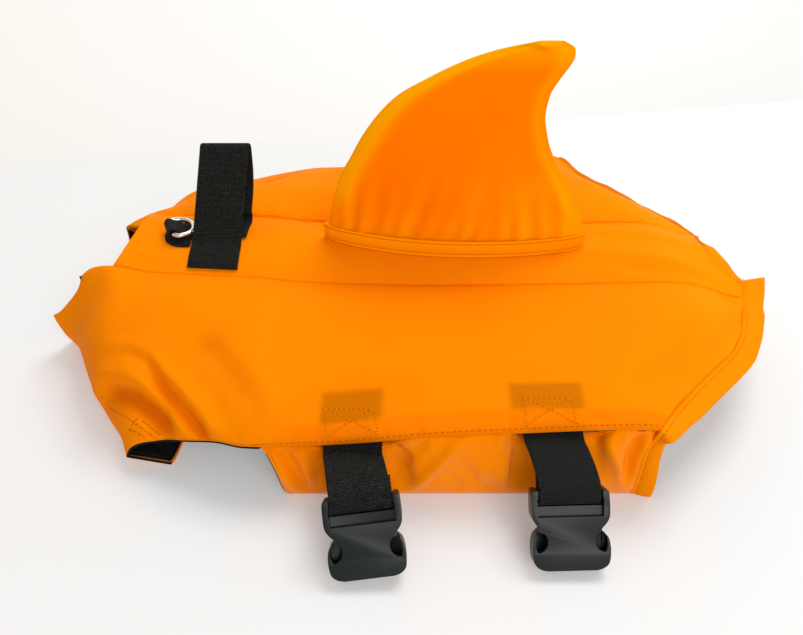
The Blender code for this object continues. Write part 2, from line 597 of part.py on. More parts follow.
def build_fin_strip(finish):
    """The band sewn round the foot of the fin, wider at the bottom."""
    count = 36
    turn = np.arange(count) * 2 * np.pi / count
    share = (1 - np.cos(turn)) / 2
    side = np.sign(np.sin(turn) + 1e-9)
    rings = []
    for level, room in ((0.0, FIN_FOOT_HALF - FIN_HALF), (1.0, 1.0)):
        for thickness in (0.0, FIN_STRIP_T):
            grow = room + 0.6 + GAP + thickness
            reach = 0.6 + GAP + thickness + 0.35 * room
            x = -47 - reach + (159 + 2 * reach) * share
            y = side * lens(share) * (FIN_HALF * 1.05 + 0.6 + grow)
            rings.append(np.stack([x, y, back_z(x, y) + GAP + level * FIN_STRIP_H], -1))
    points = np.stack([rings[k] for k in (0, 1, 3, 2)], 1).reshape(-1, 3)
    add_mesh("fin_base_strip", points, tube_faces(count, 4), finish)


# Handle, tab and D-ring

HANDLE_X, HANDLE_SLIP = -112.3, 5.0        # middle of its near foot, and how far its top leans towards the tail
HANDLE_FEET = {"left_end": -31.0, "left_bend": -15.0, "right_end": -7.0, "right_bend": 13.0}
HANDLE_RISE = 55.0
HANDLE_LEAN = np.radians(52)               # the loop has flopped towards the dog's right


def build_handle(finish):
    """A slack loop of webbing sewn to the centre panel at both ends."""
    lie = GAP + WEBBING_T / 2 + 0.3

    def on_back(y):
        return np.stack([np.full_like(y, HANDLE_X), y, back_z(HANDLE_X, y) + lie], -1)

    feet = HANDLE_FEET
    left = on_back(np.linspace(feet["left_end"], feet["left_bend"], 5))
    rise = np.array([0, np.cos(HANDLE_LEAN), np.sin(HANDLE_LEAN)])
    foot = left[-1] + (0, 2.5, 1.4)
    leg = foot + rise * np.linspace(2.0, HANDLE_RISE, 7)[:, None]
    right_foot = on_back(np.array([feet["right_bend"]]))[0]
    top_r = 4.2
    over = leg[-1] + top_r * np.cross((1, 0, 0), rise) * -1
    angle = np.linspace(0, np.pi, 6)[1:-1, None]
    normal = (leg[-1] - over) / top_r
    bend = over + top_r * (np.cos(angle) * normal + np.sin(angle) * rise)
    down_start = over - top_r * normal
    slide = np.linspace(0, 1, 8)[:, None]
    landing = right_foot + (2.0, 3.2, 5.0)
    sag = np.sin(np.pi * slide) * np.array([0, 5.0, -2.0])
    back_leg = down_start + (landing - down_start) * slide + sag
    turn = right_foot + (2.0, 3.6, 2.0)
    right = on_back(np.linspace(feet["right_bend"], feet["right_end"], 4)) + (2.0, 0, 0)
    leg[:, 0] += HANDLE_SLIP * np.linspace(0.04, 1, 7)
    bend[:, 0] += HANDLE_SLIP
    back_leg[:, 0] += HANDLE_SLIP * (1 - slide[:, 0])
    path = np.concatenate([left, leg, bend, back_leg, turn[None], right])
    slope = (back_z(HANDLE_X + 10, 0) - back_z(HANDLE_X - 10, 0)) / 20
    level = np.clip((path[:, 2] - left[-1, 2]) / 10, 0, 1)[:, None]
    across = np.array([1.0, 0, slope]) * (1 - level) + np.array([1.0, 0, 0]) * level
    ribbon("handle", path, WEBBING_W + 0.6, WEBBING_T, finish, across)


RING_BAR = (-140.3, -6.0)                  # middle of the straight bar
RING_TURN = np.radians(25)                 # the tab and its ring are turned this far towards the dog's right
RING_HALF, RING_REACH, RING_WIRE = 9.0, 13.0, 1.5
TAB_HALF = 6.6
RING_LIFT = 5.4                            # middle of the bar above the panel
PATCH_T = 1.0
PATCH = np.array([(-145, -8), (-143.5, -12), (-140, -15), (-136, -16.5), (-129.5, -16.5), (-128.2, -15.6),
                  (-128.2, -10), (-128.2, -4), (-128.2, 2), (-128.2, 8), (-131, 9), (-137, 8.5), (-141, 6), (-144, 2), (-145.4, -3)])


def ring_axes():
    """Middle of the ring's bar, and unit vectors from it: to the arc, along the bar, and up."""
    x, y = RING_BAR
    step = np.array([-np.sin(RING_TURN), np.cos(RING_TURN)]) * RING_HALF
    rise = float(back_z(x + step[0], y + step[1]) - back_z(x - step[0], y - step[1]))
    bar = np.array([*(2 * step), rise])
    bar /= np.linalg.norm(bar)
    out = np.cross(bar, (0, 0, 1.0))
    out /= np.linalg.norm(out)
    return np.array([x, y, float(back_z(x, y)) + RING_LIFT]), out, bar, np.cross(out, bar)


def build_ring(finish):
    """Metal D-ring: a straight bar, two short arms and an arc, lying back flat round the tab's sewn end."""
    middle, out, bar, up = ring_axes()
    axes = np.stack([out, bar, up])
    side = np.linspace(-1, 1, 6)[:, None]
    straight = np.concatenate([side * 0, side * (RING_HALF - 2.2)], 1)
    angle = np.linspace(np.pi / 2, -np.pi / 2, 19)[:, None]
    arc = np.concatenate([2.2 + (RING_REACH - 2.2) * np.cos(angle) ** 0.8, RING_HALF * np.sin(angle)], 1)
    plan = np.concatenate([straight, arc])
    path = np.concatenate([plan, -plan[:, :1] * 0.10], 1)
    tangent = np.roll(path, -1, 0) - np.roll(path, 1, 0)
    tangent /= np.linalg.norm(tangent, axis=1, keepdims=True)
    away = np.cross(tangent, (0.0, 0.0, 1.0))
    away /= np.linalg.norm(away, axis=1, keepdims=True)
    over = np.cross(away, tangent)
    sides = 8
    turn = (np.arange(sides) + 0.5) * 2 * np.pi / sides
    points = path[:, None, :] + RING_WIRE * (np.cos(turn)[None, :, None] * away[:, None, :]
                                             + np.sin(turn)[None, :, None] * over[:, None, :])
    add_mesh("dring", middle + points.reshape(-1, 3) @ axes, tube_faces(len(path), sides), finish, place=middle)


def build_tab(finish):
    """A short piece of webbing folded round the ring's bar and sewn down behind it."""
    middle, out, bar, up = ring_axes()
    thickness, end = 1.4, 5.6
    radius = RING_WIRE + GAP + thickness / 2 + 0.3
    angle = np.linspace(np.pi / 2, 3 * np.pi / 2, 8)
    loop = np.stack([radius * np.cos(angle), radius * np.sin(angle)], -1)
    floor = PATCH_T + 2 * GAP + thickness / 2 + 0.4 - RING_LIFT
    lower = [(3.0, floor + 0.1), (end, floor)]
    upper = [(end, floor + thickness + GAP), (4.4, floor + 2.6)]
    plan = np.concatenate([upper, loop, lower])
    ribbon("dring_tab", middle + plan[:, :1] * out + plan[:, 1:] * up, 2 * TAB_HALF, thickness, finish, bar)


def build_patch(finish):
    """A rounded piece of webbing cloth under the tab, on the centre panel."""
    middle = PATCH.mean(0)
    rings = middle + (PATCH - middle) * np.array([1.0, 0.6, 0.25])[:, None, None]
    flat = np.concatenate([rings.reshape(-1, 2), middle[None]])
    z = back_z(flat[:, 0], flat[:, 1]) + GAP + 0.25
    count = len(PATCH)
    i = np.arange(count)
    after = (i + 1) % count
    faces = []
    for ring in (0, count):
        faces += [*np.stack([i + ring, after + ring, after + ring + count, i + ring + count], -1)]
    hub = 3 * count
    faces += [*np.stack([i + 2 * count, after + 2 * count, np.full(count, hub)], -1)]
    under = hub + 1
    faces += [face[::-1] + under for face in faces]
    faces += [*np.stack([after, i, i + under, after + under], -1)]
    points = np.concatenate([np.column_stack([flat, z + PATCH_T]), np.column_stack([flat, z])])
    add_mesh("dring_patch", points, faces, finish)


for old in list(bpy.data.objects):
    bpy.data.objects.remove(old, do_unlink=True)

orange = material("orange nylon", (1.0, 0.27, 0.0), 0.5)
satin = material("orange satin", (1.0, 0.3, 0.0), 0.4)
black_lining = material("black lining", (0.012, 0.013, 0.013), 0.6)
webbing = material("black webbing", (0.02, 0.022, 0.021), 0.7)
plastic = material("black plastic", (0.018, 0.021, 0.02), 0.35)
chrome = material("nickel plate", (0.75, 0.75, 0.75), 0.15, 1.0)

build_back_panel(orange, black_lining)
build_side_panels(orange, black_lining)
build_chest_bands(orange, black_lining)
build_belly_flaps(satin)
build_bindings(orange)
build_fin(orange)
build_fin_strip(orange)
build_handle(webbing)
build_patch(webbing)
build_tab(webbing)
build_ring(chrome)
build_straps(webbing, plastic)
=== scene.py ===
import bpy
import numpy as np
from mathutils import Matrix, Vector
from mathutils.bvhtree import BVHTree


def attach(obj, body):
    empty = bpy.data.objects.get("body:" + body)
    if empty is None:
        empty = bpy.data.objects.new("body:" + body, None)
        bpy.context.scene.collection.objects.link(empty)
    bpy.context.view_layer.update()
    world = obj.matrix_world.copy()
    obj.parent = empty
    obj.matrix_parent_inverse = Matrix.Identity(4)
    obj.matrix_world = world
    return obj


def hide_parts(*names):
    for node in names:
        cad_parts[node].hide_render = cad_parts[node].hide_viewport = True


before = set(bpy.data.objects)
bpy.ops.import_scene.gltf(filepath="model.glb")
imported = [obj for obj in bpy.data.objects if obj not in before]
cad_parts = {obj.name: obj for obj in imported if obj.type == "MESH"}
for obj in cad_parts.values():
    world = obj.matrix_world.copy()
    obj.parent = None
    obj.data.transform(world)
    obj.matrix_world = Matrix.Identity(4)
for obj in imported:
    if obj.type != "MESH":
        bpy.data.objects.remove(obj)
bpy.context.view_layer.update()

# Camera, table and light.
# The jacket lies on a white table top in front of a warm white wall, lit by a large soft lamp over it
# and by a bright room. Lengths are millimetres in every section, and metres only in the meshes.

MM = 0.001
ORIGIN = np.array([5.4, 0.1, 0.0])      # the shapes are worked out from the middle of the hem
CAMERA_PLACE = (0.0, -345.0, 288.0)
CAMERA_DOWN = np.radians(40)
FOCAL_PX, FRAME_W, SENSOR = 650.0, 803, 36.0

scene = bpy.context.scene
camera_data = bpy.data.cameras.new("camera")
camera_data.sensor_width = SENSOR
camera_data.lens = FOCAL_PX / FRAME_W * SENSOR
camera_data.clip_start = 0.01
camera = bpy.data.objects.new("camera", camera_data)
scene.collection.objects.link(camera)
cos_down, sin_down = np.cos(CAMERA_DOWN), np.sin(CAMERA_DOWN)
place = (np.array(CAMERA_PLACE) - ORIGIN) * MM
camera.matrix_world = Matrix(((1, 0, 0, place[0]), (0, sin_down, -cos_down, place[1]),
                              (0, cos_down, sin_down, place[2]), (0, 0, 0, 1)))
scene.camera = camera
scene.view_settings.view_transform = "Standard"
scene.view_settings.look = "None"


def principled(name, colour, roughness, **sockets):
    """A material with a Principled shader whose even values are set on its own sockets. Returns it, its tree
    and the shader."""
    made = bpy.data.materials.new(name)
    made.use_nodes = True
    shader = made.node_tree.nodes["Principled BSDF"]
    shader.inputs["Base Color"].default_value = (*colour, 1)
    shader.inputs["Roughness"].default_value = roughness
    for socket, value in sockets.items():
        shader.inputs[socket.replace("_", " ")].default_value = value
    made.diffuse_color = (*colour, 1)
    return made, made.node_tree, shader


def node(tree, kind, inputs=(), **settings):
    """A shader node with its settings, whose inputs take an even value or the output of another node."""
    made = tree.nodes.new("ShaderNode" + kind)
    for setting, value in settings.items():
        setattr(made, setting, value)
    for socket, value in dict(inputs).items():
        if isinstance(value, bpy.types.NodeSocket):
            tree.links.new(value, made.inputs[socket])
        else:
            made.inputs[socket].default_value = value
    return made


def ranged(tree, value, low, high, to=(0, 1)):
    """A value stretched so that low to high becomes the range to, and held at its ends."""
    return node(tree, "MapRange", {"Value": value, "From Min": low, "From Max": high, "To Min": to[0],
                                   "To Max": to[1]}).outputs["Result"]


def blend(tree, share, first, second, how="MIX"):
    """Two colours blended by a share."""
    return node(tree, "Mix", {0: share, 6: first, 7: second}, data_type="RGBA", blend_type=how).outputs[2]


def place_mesh(name, points, faces, finish, uv=None, flat=False, tone=None):
    """One object at the origin from points in millimetres and a list or array of faces. uv is a point's place
    on its cloth, in millimetres, and tone multiplies its cloth's red, green and blue."""
    mesh = bpy.data.meshes.new(name)
    mesh.from_pydata(((np.asarray(points, float) - ORIGIN) * MM).tolist(), [], np.asarray(faces).tolist()
                     if isinstance(faces, np.ndarray) else faces)
    if uv is not None:
        corner = np.empty(len(mesh.loops), np.int32)
        mesh.loops.foreach_get("vertex_index", corner)
        layer = mesh.uv_layers.new(name="cloth")
        layer.data.foreach_set("uv", (np.asarray(uv)[corner] * MM).astype(np.float32).ravel())
    tones = np.ones((len(mesh.vertices), 4), np.float32)
    if tone is not None:
        tones[:, :3] = tone
    mesh.attributes.new("tone", "FLOAT_COLOR", "POINT").data.foreach_set("color", tones.ravel())
    if not flat:
        mesh.shade_smooth()
    mesh.materials.append(finish)
    made = bpy.data.objects.new(name, mesh)
    scene.collection.objects.link(made)
    return made


table_top = principled("table top", (0.62, 0.62, 0.615), 0.6, Specular_IOR_Level=0.15,
                       Emission_Color=(1, 0.995, 0.98, 1), Emission_Strength=0.2)[0]
TABLE_SIDE, TABLE_NEAR, TABLE_FAR, TABLE_SLANT = 2500, -1500, 301.0, 0.185       # its far edge is slanted
far_left, far_right = TABLE_FAR - TABLE_SIDE * TABLE_SLANT, TABLE_FAR + TABLE_SIDE * TABLE_SLANT
floor = place_mesh("floor", [(-TABLE_SIDE, TABLE_NEAR, 0), (TABLE_SIDE, TABLE_NEAR, 0),
                             (TABLE_SIDE, far_right, 0), (-TABLE_SIDE, far_left, 0)],
                   [(0, 1, 2, 3)], table_top, flat=True)
wall_paint, tree, shader = principled("wall paint", (0.84, 0.82, 0.80), 0.9, Emission_Strength=0.47)
across = node(tree, "SeparateXYZ", {0: node(tree, "TexCoord").outputs["Object"]}).outputs["X"]
warm_left = blend(tree, ranged(tree, across, -1.4, 0.2), (1.0, 0.92, 0.83, 1), (1.0, 1.0, 0.98, 1))
tree.links.new(warm_left, shader.inputs["Emission Color"])
WALL_BACK, WALL_SIDE, WALL_LOW, WALL_TOP = 1500.0, 4000, -1500, 3000
wall = place_mesh("wall", [(-WALL_SIDE, WALL_BACK, WALL_LOW), (WALL_SIDE, WALL_BACK, WALL_LOW),
                           (WALL_SIDE, WALL_BACK, WALL_TOP), (-WALL_SIDE, WALL_BACK, WALL_TOP)],
                  [(0, 1, 2, 3)], wall_paint, flat=True)


def unit(v):
    """Vectors made one long."""
    return v / np.maximum(np.linalg.norm(v, axis=-1, keepdims=True), 1e-9)


def area_lamp(name, where, towards, size, power, colour=(1, 1, 1)):
    """A square soft lamp, in millimetres, that faces a point."""
    data = bpy.data.lights.new(name, "AREA")
    data.shape, data.size, data.energy, data.color = "SQUARE", size * MM, power, colour
    lamp = bpy.data.objects.new(name, data)
    away = unit(np.array(where, float) - towards)
    right = unit(np.cross((0, 1, 0) if abs(away[2]) > 0.9 else (0, 0, 1), away))
    up = np.cross(away, right)
    turned = Matrix([(*row, p) for row, p in zip(np.stack([right, up, away], 1), np.array(where) * MM)])
    lamp.matrix_world = turned.to_4x4()
    scene.collection.objects.link(lamp)
    return lamp


area_lamp("over lamp", (450, 500, 1350), (0, 0, 0), 700, 12.0)
area_lamp("front lamp", (450, -1200, 900), (0, 0, 60), 900, 10.0)
world = bpy.data.worlds.new("room")
world.use_nodes = True
world.node_tree.nodes["Background"].inputs["Color"].default_value = (1.0, 1.0, 1.0, 1)
world.node_tree.nodes["Background"].inputs["Strength"].default_value = 0.47
scene.world = world

# Side panels and chest bands.
# A foam panel on each side, from the seam beside the spine to the hem, cut from smooth orange coated nylon.
# In front a soft band is sewn to it that rolls over the fold of the neck and the leg hole, turns under and
# overlaps the other band, where hook and loop tape would close it.

LEFT, RIGHT = -1, 1
SEAM_OUT, HEM_OUT = 34.0, 142.0
CLOTH_T, PUFF, GAP = 3.0, 8.0, 0.3
TAIL_DROP, TAIL_REACH = 7.0, 42.0
SEAM_BACK, FOLD_SLANT, NECK_SAG = 3.0, 0.81, 6.0
ROLL = {LEFT: (56.0, 30.0), RIGHT: (72.0, 42.0)}


def table(columns, *rows):
    """A short table with named columns, as a dictionary of arrays."""
    return dict(zip(columns.split(), np.array(rows, float).T))


BODY = table("x seam_z low_out low_z", (-217, 68.0, 131, 24.0), (-172, 67.5, 131, 24.0),
             (-148, 62.0, 130, 24.0), (-128, 60.5, 127.5, 23.0), (-111, 59.3, 131, 26.5),
             (-95, 58.4, 135, 31.0), (-78, 56.8, 141, 34.5), (-66, 55.0, 142, 35.5), (-31, 53.0, 142, 38.0),
             (18, 52.0, 142, 44.0), (58, 52.3, 142, 47.0), (113, 53.0, 142, 50.0), (155, 54.0, 142, 47.0),
             (185, 52.5, 142, 45.0), (213, 49.0, 142, 44.0))
FOLD = {
    LEFT: table("out x z", (34, -217, 28), (38, -212.3, 21.5), (50, -199, 20), (62, -191, 20), (84, -178, 17),
                (104, -163, 12), (117, -152, 9), (127, -147, 6)),
    RIGHT: table("out x z", (46, -194, 42), (54, -190, 32), (66, -184, 23), (84, -178, 17),
                 (104, -163, 12), (117, -152, 9), (127, -147, 6)),
}
NECK = {
    LEFT: table("x out", (-217, 34.2), (-210, 35.7), (-204, 36.6), (-197, 37.2), (-193, 36.9),
                (-190.5, 35.2), (-188.5, 31.8), (-184, 31.6), (-176.8, 33.6), (-172, 34), (230, 34)),
    RIGHT: table("x out", (-194, 46), (-189, 43), (-184, 39), (-178, 35), (-174, 34), (160, 34), (230, 34)),
}
FRONT_SEAM = table("down x", (0, -217), (0.07, -206), (0.29, -190), (0.45, -180), (0.646, -166.5),
                   (0.8, -150.5), (0.918, -137.6), (1, -126.5))
TAIL_SEAM = {
    LEFT: table("down x", (0, 206.5), (0.07, 204.9), (0.206, 198.7), (0.29, 194.6), (0.38, 188),
                (0.464, 181.3), (0.572, 168.7), (0.735, 150), (0.875, 135), (1, 124)),
    RIGHT: table("down x", (0, 201), (0.06, 196), (0.23, 182), (0.39, 169.5), (0.64, 150), (0.79, 138),
                 (1, 125)),
}


def read(source, column, at, by="x"):
    """A column of a table between its rows: cubic pieces that never overshoot, level past the ends."""
    x, y = source[by], source[column]
    step = np.diff(x)
    slope = np.diff(y) / step
    same = slope[1:] * slope[:-1] > 0
    inner = 2 * slope[1:] * slope[:-1] / np.where(same, slope[1:] + slope[:-1], 1)
    slopes = np.concatenate([slope[:1], np.where(same, inner, 0), slope[-1:]])
    at = np.clip(at, x[0], x[-1])
    i = np.clip(np.searchsorted(x, at, side="right") - 1, 0, len(step) - 1)
    u = (at - x[i]) / step[i]
    return (y[i] * (1 + 2 * u) * (1 - u) ** 2 + slopes[i] * step[i] * u * (1 - u) ** 2
            + y[i + 1] * u**2 * (3 - 2 * u) - slopes[i + 1] * step[i] * u**2 * (1 - u))


def smooth(u):
    """0 up to u = 0 and 1 from u = 1, with level ends: u squared times (3 - 2 u)."""
    u = np.clip(u, 0, 1)
    return u * u * (3 - 2 * u)


def seam_z(x, side):
    """Height of a lengthwise seam: read from the body's table, and on the right it sinks towards the neck."""
    sag = NECK_SAG * smooth((-120 - x) / 52) if side == RIGHT else 0
    return read(BODY, "seam_z", x) - sag


def top_z(x, out, side):
    """Height at seam level: from the seam's height to the hem's as a power of the way down, times a quarter
    circle over the front fold, less the drop along the tail."""
    low_out = read(BODY, "low_out", x)
    down = np.clip((out - SEAM_OUT) / (low_out - SEAM_OUT), 0, 1.1)
    full = seam_z(x, side) + (read(BODY, "low_z", x) - seam_z(x, side)) * down**2.2
    reach = ROLL[side][0] - ROLL[side][1] * down
    away = np.clip((x - read(FOLD[side], "x", out, by="out")) * FOLD_SLANT / reach, 0, 1)
    fold_z = read(FOLD[side], "z", out, by="out")
    tail = read(TAIL_SEAM[side], "x", down, by="down") - x
    drop = TAIL_DROP * (1 - smooth(tail / TAIL_REACH)) * (1 - np.minimum(down, 1) ** 3)
    lip = 1 - (1 - np.clip(away / 0.62, 0, 1)) ** 1.5
    rise = np.sqrt(1 - (1 - away) ** 2)
    return fold_z + (full - fold_z) * (rise + (lip - rise) * 0.75 * smooth(1 - down / 0.4)) - drop


def side_grid(side, along, down):
    """Points at seam level for columns of shares along the panel and down it, with the front seam kept a
    least distance behind the fold."""
    along, down = along[:, None], down[None, :]
    seam_x = read(FRONT_SEAM, "x", down, by="down")
    front, top = seam_x, SEAM_OUT
    for _ in range(2):
        fold_out = top + down * (read(BODY, "low_out", front) - top)
        front = np.maximum(seam_x, read(FOLD[side], "x", fold_out, by="out") + SEAM_BACK)
        top = read(NECK[side], "out", front)
    tail = read(TAIL_SEAM[side], "x", down, by="down")
    x = front + (tail - front) * along
    top, low = read(NECK[side], "out", x), read(BODY, "low_out", x)
    out = top + GAP / 2 + (low - top - GAP / 2) * down
    return np.stack([x, side * out, top_z(x, out, side)], -1)


BAND_T, LINING_T = 2.0, 1.0
BAND_END = {LEFT: 22.0, RIGHT: 18.0}
BAND_REAR = -120.0
BAND_FRONT = {LEFT: -208.0, RIGHT: -202.0}
LIFT_OUT = 50.0


def band_grid(side, down, top_share, turn):
    """Points of a band for shares down it. The first columns go from the seam to the fold, and the others
    turn under on a quarter circle and run in to the band's end."""
    seam = side_grid(side, np.array([0.0]), down)[0][:, None, :]
    down = down[:, None]
    fold = FOLD[side]
    seam_out = np.abs(seam[..., 1])
    share = (seam_out - seam_out[0]) / (seam_out[-1] - seam_out[0])
    fold_out = fold["out"][0] + (fold["out"][-1] - fold["out"][0]) * share
    fold_x, fold_z = read(fold, "x", fold_out, by="out"), read(fold, "z", fold_out, by="out")
    near = 3 * GAP / np.maximum(np.hypot(seam[..., 0] - fold_x, seam_out - fold_out), 1)
    share = near + (1 - near) * (1 - (1 - top_share[None, :]) ** 2)
    top_x = seam[..., 0] + (fold_x - seam[..., 0]) * share
    top_out = seam_out + (fold_out - seam_out) * share
    top_height = np.maximum(top_z(top_x, top_out, side), fold_z)
    turn = turn[None, :]
    under_out = fold_out - (fold_out + BAND_END[side]) * (0.004 + 0.25 * turn + 0.746 * turn**1.6)
    gone = (fold_out - under_out) / (fold_out + BAND_END[side])
    end_x = BAND_FRONT[side] + (BAND_REAR - BAND_FRONT[side]) * down
    under_x = fold_x + (end_x - fold_x) * gone ** (0.9 - 0.864 * down)
    roll = np.clip((fold_out - under_out) / ((7 + 0.6 * fold_z) * (1 - 0.9 * down**6)), 0, 1)
    lift = (BAND_T + LINING_T + 3 * GAP) * smooth((LIFT_OUT - under_out) / 20) if side == RIGHT else 0
    under_height = fold_z * (1 - np.sqrt(1 - (1 - roll) ** 2)) + lift
    return np.stack([np.concatenate([top_x, under_x], 1), side * np.concatenate([top_out, under_out], 1),
                     np.concatenate([top_height, under_height], 1)], -1)


def shares(length, step, edge=(0.25, 0.8, 1.6)):
    """Shares from 0 to 1 along a length, evenly a step apart, with a few finer ones at both ends."""
    edge = np.array((0, *edge))
    middle = np.linspace(edge[-1], length - edge[-1], max(3, int(length / step)))
    return np.concatenate([edge[:-1], middle, (length - edge[:-1])[::-1]]) / length


def normals(grid):
    """Unit normals of a grid of points: the cross product of its differences along and across."""
    return unit(np.cross(np.gradient(grid, axis=0), np.gradient(grid, axis=1)))


def lengths(grid):
    """Distance walked along each way of a grid from its middle line, as a point's place on the flat cloth."""
    along = np.linalg.norm(np.diff(grid, axis=0), axis=-1)
    across = np.linalg.norm(np.diff(grid, axis=1), axis=-1)
    u = np.concatenate([np.zeros((1, grid.shape[1])), np.cumsum(along, 0)])
    v = np.concatenate([np.zeros((grid.shape[0], 1)), np.cumsum(across, 1)], 1)
    return u - u[len(u) // 2] + grid[len(u) // 2, :, 0], v


def edge_drop(u, v, radius):
    """How far a face falls at its four edges: a quarter circle of the radius, by distance from them."""
    near = np.minimum(np.minimum(u - u[:1], u[-1:] - u), np.minimum(v - v[:, :1], v[:, -1:] - v))
    share = 1 - np.clip(near / radius, 0, 1)
    return radius * (1 - np.sqrt(np.maximum(1 - share**2, 0)))


def dress(piece, slot, *solids, body="jacket"):
    """Puts a finished piece on its body, in the place of its solids. The slot argument is not used."""
    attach(piece, body)
    if solids:
        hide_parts(*solids)


def grid_faces(rows, columns):
    """The numbers of a grid's points, and its faces."""
    index = np.arange(rows * columns).reshape(rows, columns)
    corners = index[:-1, :-1], index[:-1, 1:], index[1:, 1:], index[1:, :-1]
    return index, np.stack(corners, -1).reshape(-1, 4)


def shell(name, outer, inner, finish, tone=None, inner_tone=None, uv=None):
    """A closed wall between two matching grids, with its cloth's UV, its faces pointing out. tone is the
    outer grid's red, green and blue shares, and inner_tone the inner one's."""
    index, quads = grid_faces(*outer.shape[:2])
    rim = np.concatenate([index[0, :-1], index[:-1, -1], index[-1, :0:-1], index[:0:-1, 0]])
    after = np.roll(rim, -1)
    edge = np.stack([rim, rim + index.size, after + index.size, after], -1)
    faces = np.concatenate([quads, quads[:, ::-1] + index.size, edge])
    points = np.concatenate([outer.reshape(-1, 3), inner.reshape(-1, 3)])
    a, b, c, d = (points[faces[:, k]] for k in range(4))
    volume = (np.einsum("ij,ij->i", a, np.cross(b, c)) + np.einsum("ij,ij->i", a, np.cross(c, d))).sum()
    if volume < 0:
        faces = faces[:, ::-1]
    uv = np.stack(lengths(outer), -1) if uv is None else uv
    uv = np.tile(uv.reshape(-1, 2), (2, 1))
    if tone is not None:
        both = tone, tone if inner_tone is None else inner_tone
        tone = np.concatenate([np.broadcast_to(one, outer.shape).reshape(-1, 3) for one in both])
    return place_mesh(name, points, faces, finish, uv, tone=tone)


def puff(along, down):
    """0 at the edges of a side panel and 1 over its foam."""
    along, down = along[:, None], down[None, :]
    long_way = smooth(along / 0.3) * (1 - np.clip(2 * along - 1, 0, 1) ** 8)
    return (1 - np.abs(2 * down - 1) ** 3) ** 0.7 * long_way ** 0.7


def creases(x, y, folds):
    """Sum of soft ridges and troughs. Each runs along a line of (x, y) points and has a width and a height.
    Its section is a bell, exp(-(distance / width) squared), and it fades out towards both ends."""
    total = np.zeros(np.broadcast(x, y).shape)
    for line, width, height in folds:
        line = np.array(line, float)
        step = np.diff(line, axis=0)
        run = np.concatenate([[0], np.cumsum(np.hypot(*step.T))])
        best, place = np.full(total.shape, 1e9), np.zeros(total.shape)
        for (ax, ay), (sx, sy), before in zip(line, step, run):
            t = np.clip(((x - ax) * sx + (y - ay) * sy) / (sx * sx + sy * sy), 0, 1)
            away = np.hypot(x - ax - sx * t, y - ay - sy * t)
            place = np.where(away < best, before + t * np.hypot(sx, sy), place)
            best = np.minimum(away, best)
        end = np.clip(place / run[-1], 0, 1)
        total += height * np.exp(-((best / width) ** 2)) * smooth(end * 3.5) * smooth((1 - end) * 3.5)
    return total


# line of (x, distance from the spine), width, height
SIDE_FOLDS = {
    LEFT: [
        (((-176, 79), (-160, 84.5), (-148, 89), (-134.5, 95), (-123, 101.5), (-115, 107.5), (-106, 116.5),
          (-100, 123), (-95, 130), (-88, 141), (-80, 154)), 5.2, 5.6),
        (((-172, 83), (-156, 87), (-146, 89.5), (-135.5, 94.5), (-123, 107.5), (-111, 118.5), (-101.5, 128),
          (-94, 140), (-86, 154)), 3.8, -6.4),
        (((-182, 86), (-167, 92.5), (-152, 98), (-138.5, 103), (-129, 108.5), (-118, 116.5), (-110, 126.5),
          (-104, 138), (-98, 152)), 4.2, 4.6),
        (((-172, 96.5), (-156, 101.5), (-143, 107), (-132, 114), (-121.5, 122.5), (-114, 133)), 5.0, -5.0),
        (((-118, 80), (-96, 92), (-80, 110), (-70, 130)), 8.0, -2.4),
        (((-100, 84), (-82, 100), (-68, 118), (-60, 136)), 6.0, 1.8),
        (((-154, 112), (-142, 117), (-132, 124)), 3.0, 1.2),
        (((194, 48), (190, 58), (180, 75), (160, 95.6), (142, 113), (126, 130)), 6.5, -2.6),
        (((104, 130), (136, 100), (161, 74), (176, 56)), 9.0, -1.6),
        (((204, 40), (200, 50), (193, 60), (184, 72)), 5.0, -2.4),
        (((126, 136), (150, 106), (170, 84)), 5.0, 1.6),
        (((188, 36), (197, 39), (206, 36)), 3.5, -3.0),
        (((-60, 122), (-20, 118), (40, 116), (100, 118)), 12.0, -0.8),
        (((-30, 60), (20, 66), (80, 60)), 14.0, -0.7),
    ],
    RIGHT: [
        (((-172, 70), (-160, 78), (-140, 92), (-120, 108), (-108, 128)), 5.5, 3.8),
        (((-168, 82), (-150, 92), (-132, 106), (-120, 124)), 4.5, -4.2),
        (((-168, 92), (-152, 100), (-136, 112), (-128, 124)), 4.0, 2.6),
        (((-110, 70), (-92, 88), (-80, 110), (-72, 132)), 7.0, -2.6),
        (((-90, 60), (-60, 66), (-20, 62)), 9.0, 1.0),
        (((120, 130), (150, 96), (172, 66)), 8.0, -2.8),
        (((150, 120), (168, 92), (184, 70)), 5.5, 2.0),
        (((-40, 120), (10, 115), (70, 118)), 11.0, -0.9),
        (((20, 60), (70, 72), (120, 64)), 12.0, -0.9),
    ],
}
PUCKER = 0.35        # the cloth gathers a little along its stitched edges
BOX_W, BOX_DEEP, TAPE_RISE = 29.0, 19.0, 0.7      # the end of each strap lies under the panel above the hem
STRAP_X = (-24.0, 73.5)
HEM_ALLOWANCE, HEM_STEP = 9.4, 0.35


def puckers(u, near, side):
    """Small uneven waves along a stitched edge, by distance u along it, that fade within 9 mm of it."""
    wave = np.sin(u * 0.71 + 1.3 * side) + 0.8 * np.sin(u * 0.43 + 2.1) + 0.6 * np.sin(u * 1.19 + 0.7 * side)
    return PUCKER * wave * 0.45 * np.exp(-((near / 7.0) ** 2))


band_down = shares(112, 1.9)
turn_share = np.concatenate([np.linspace(0, 0.12, 14)[:-1], np.linspace(0.12, 1, 46)])
top_share = np.linspace(0, 1, 14)[:-1]
UNDER_ROWS, BAND_ROWS = len(turn_share), len(turn_share) + len(top_share)
FRONT_GROOVE = 0.12       # depth of the seam between a side panel and its band, which shows in its lower half


